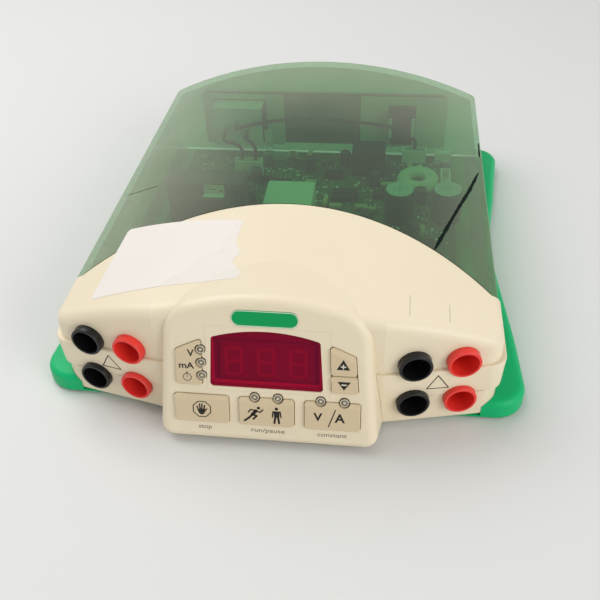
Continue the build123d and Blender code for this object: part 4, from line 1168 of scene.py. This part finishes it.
tops, vents = [], []
for x, y in ((48.5, 29.2), (73.3, 30.8)):
    tops.append(disc(x, y, 7.2, 32))
    vents += stroke([(x - 4.2, y), (x + 4.2, y)], 0.4) + stroke([(x, y - 4.2), (x, y + 4.2)], 0.4)
flat_piece("capacitor_tops", tops, at_height(CAN_TOP), 0.01, 0.15, can_aluminium, "case")
flat_piece("capacitor_vents", vents, at_height(CAN_TOP), 0.16, 0.02, zinc_steel, "case")
print("capacitor tops", len(tops))

# %% [markdown]
# ## The transformer's label
# A white paper label is folded into a corner at the front of the transformer. One half stands on the
# upright front of the iron yoke, and the other lies on the top of the winding before it. It carries a
# few grey bars in place of text, because nothing on it could be read through the cover.

# %% Transformer label
YOKE_Y = 7.0
WINDING_TOP = 37.8


def before_yoke(x, z, lift):
    """A point in front of the transformer's upper yoke, in metres."""
    return Vector((x, YOKE_Y - lift, z)) * MM


flat_piece("transformer_label_front", [plate(-45.1, 40.3, 10.5, 4.5)], before_yoke, 0.02, 0.08, white_paper,
           "case")
flat_piece("transformer_label_foot", [plate(-45.1, 4.9, 10.5, 4.1)], at_height(WINDING_TOP), 0.02, 0.08,
           white_paper, "case")
marks = [plate(-47.8, 41.3, 3.6, 0.6), plate(-46.8, 40.0, 5.6, 0.5), plate(-41.6, 39.0, 2.0, 1.4)]
flat_piece("transformer_label_marks", marks, before_yoke, 0.11, 0.02, pale_ink, "case")
print("bars on the label", len(marks))

# %% [markdown]
# ## Sockets, header and terminal strip
# Plain blocks stand for the small connectors towards the rear of the board: a low white socket, a
# black header with six bright pins 2.9 mm apart, and a white terminal strip. Their moulded details
# are too small to be seen through the cover.

# %% Connectors
flat_piece("low_socket", [plate(-16.5, 87.6, 5.6, 6.4)], on_board, 0.02, 3.0, white_nylon,
           "case")
flat_piece("header_strip", [plate(-31.8, 63.4, 16.4, 2.4)], on_board, 0.02, 2.4, epoxy_package,
           "case")
pins = [plate(-39.0 + 2.9 * k, 63.4, 0.9, 0.9) for k in range(6)]
flat_piece("header_pins", pins, on_board, 0.02, 6.0, solder, "case")
flat_piece("terminal_strip", [plate(73.0, 90.6, 9.0, 4.4)], on_board, 0.02, 6.0, white_nylon,
           "case")
print("header pins", len(pins))

# %% [markdown]
# ## The rear wall from inside
# Through the cover, the rear shows as a row of pale and grey fields: the back and top of the mains
# inlet's housing, the clips that hold the inlet and the rocker, and pale fields of painted light where
# light comes in from behind, drawn as white sheets just inside the cover's rear wall. The CAD's inlet
# is black outside, as it should be, so thin white plates lie on its inner sides.

# %% Rear wall
# A plane some 10 mm in front of the rear wall, and the level of the inlet's top
NEAR_WALL_Y = 104.0
INLET_TOP = 37.0


def before_wall(x, z, lift):
    """A point in front of the rear wall, in metres; lift runs towards the front."""
    return Vector((x, NEAR_WALL_Y - lift, z)) * MM


clips = [plate(41.2, 26.0, 2.0, 12.5), plate(54.8, 26.0, 2.0, 12.5), plate(-33.0, 17.5, 4.6, 11.0)]
flat_piece("wall_clips", clips, before_wall, 0.1, 1.2, white_nylon, "case")
flat_piece("inlet_housing_back", [plate(-51.5, 24.6, 30.6, 24.4)], before_wall, 2.02, 0.3, white_nylon,
           "case")
flat_piece("inlet_housing_top", [plate(-51.5, 107.6, 30.6, 11.6)], at_height(INLET_TOP), 0.02, 0.3,
           white_nylon, "case")
# Painted light: pale sheets just inside the cover's rear wall, where light comes in from behind
sheets = [plate(-71.4, 24.5, 6.6, 33.4), plate(-29.6, 24.5, 11.0, 33.4), plate(31.3, 24.5, 16.6, 33.4),
          plate(65.6, 24.5, 18.4, 33.4), plate(-51.5, 39.6, 32.8, 3.2), plate(48.0, 38.6, 16.8, 5.2),
          plate(48.0, 10.5, 16.8, 5.2)]
flat_piece("rear_painted_light_sheets", sheets, before_wall, -9.9, 0.4, white_nylon, "case")
print("painted light sheets", len(sheets))

# %% [markdown]
# ## Studio
# The floor is a plain matt sheet. A curved backdrop would hide the horizon in a level view, but the
# camera looks down, so a flat sheet is enough. The world is a pale dome that is brighter near the
# horizon than overhead, so that the flanks of the cover get a soft reflection and the top stays deep.

# %% Floor
# Matt painted board: it takes the object's soft shadow and hardly mirrors it
floor_matt, floor_tree, floor_out = new_material("pale_matt_floor")
floor_skin = add(floor_tree, "ShaderNodeBsdfPrincipled", {"Base Color": linear("D9D9D6"), "Roughness": 0.6})
floor_tree.links.new(floor_skin.outputs[0], floor_out.inputs["Surface"])
floor_mesh = bpy.data.meshes.new("floor")
floor_mesh.from_pydata([(-6, -6, 0), (6, -6, 0), (6, 6, 0), (-6, 6, 0)], [], [(0, 1, 2, 3)])
floor_mesh.materials.append(floor_matt)
floor = bpy.data.objects.new("floor", floor_mesh)
bpy.context.scene.collection.objects.link(floor)
print("floor laid")

# %% World
NEAR_HORIZON, OVERHEAD = 0.75, 0.45
world = bpy.data.worlds.new("studio")
bpy.context.scene.world = world
world.use_nodes = True
sky = world.node_tree.nodes["Background"]
sky.inputs["Color"].default_value = linear("F2F3F4")
sky_place = add(world.node_tree, "ShaderNodeTexCoord")
sky_parts = add(world.node_tree, "ShaderNodeSeparateXYZ", {"Vector": sky_place.outputs["Generated"]})
sky_level = add(world.node_tree, "ShaderNodeMapRange", {"Value": sky_parts.outputs["Z"], "From Min": 0.3,
                                                        "From Max": 0.8, "To Min": NEAR_HORIZON,
                                                        "To Max": OVERHEAD})
world.node_tree.links.new(sky_level.outputs["Result"], sky.inputs["Strength"])
print("world light", NEAR_HORIZON, "near the horizon and", OVERHEAD, "overhead")

# %% [markdown]
# ## Two soft lamps
# A window and a lit wall would do the same: one wide soft light high at the left rear, and one at the
# right front that fills the shade of the jack faces. Wide lamps give soft shadows. Their watts are
# set so that a colour comes out about as bright as it is written.

# %% Lamps
SOFTBOX = (0.9, 0.9)
AIM = (0, 0, 0.02)


def softbox(name, place, aim, size, watts):
    """A square lamp that faces a point."""
    data = bpy.data.lights.new(name, "AREA")
    data.shape = "RECTANGLE"
    data.size, data.size_y = size
    data.energy = watts
    lamp = bpy.data.objects.new(name, data)
    lamp.location = place
    lamp.rotation_euler = (Vector(aim) - Vector(place)).to_track_quat("-Z", "Y").to_euler()
    bpy.context.scene.collection.objects.link(lamp)
    return lamp


softbox("key_lamp", (-0.5, 0.25, 0.95), AIM, SOFTBOX, 8.0)
softbox("fill_lamp", (1.08, -0.78, 0.66), AIM, SOFTBOX, 9.3)
print("lamps", len(bpy.data.lights))

# %% [markdown]
# ## Camera
# The camera stands where the photographer stood. It could be placed by eye, but then no edge would
# fall quite where it does in the picture. Its place, turn and focal length come from a fit to pairs
# of points left and right of the object's middle, with the 19.05 mm between paired sockets as the one
# known distance. The focal length was found in dots of a picture 600 dots wide, and the two shifts
# are small offsets of the frame.

# %% Camera
FRAME_DOTS = 600
FOCAL_DOTS = 777.30
SENSOR_MM = 36.0
camera_data = bpy.data.cameras.new("camera")
camera = bpy.data.objects.new("camera", camera_data)
bpy.context.scene.collection.objects.link(camera)
bpy.context.scene.camera = camera
camera_data.sensor_width = SENSOR_MM
camera_data.lens = FOCAL_DOTS / FRAME_DOTS * SENSOR_MM
camera_data.shift_x = 0.00515
camera_data.shift_y = -0.0090
camera_data.clip_start = 0.01
right = Vector((0.99180303, 0.12222062, -0.03726743))
down = Vector((0.04957621, -0.63689511, -0.76935481))
ahead = Vector((-0.11776647, 0.76120085, -0.63773374))
turn = Matrix((right, -down, -ahead)).transposed().to_4x4()
camera.matrix_world = Matrix.Translation(Vector((45.6555, -322.0686, 248.8117)) * MM) @ turn
print("focal length", round(camera_data.lens, 2), "mm")

bpy.context.scene.view_settings.view_transform = "Standard"
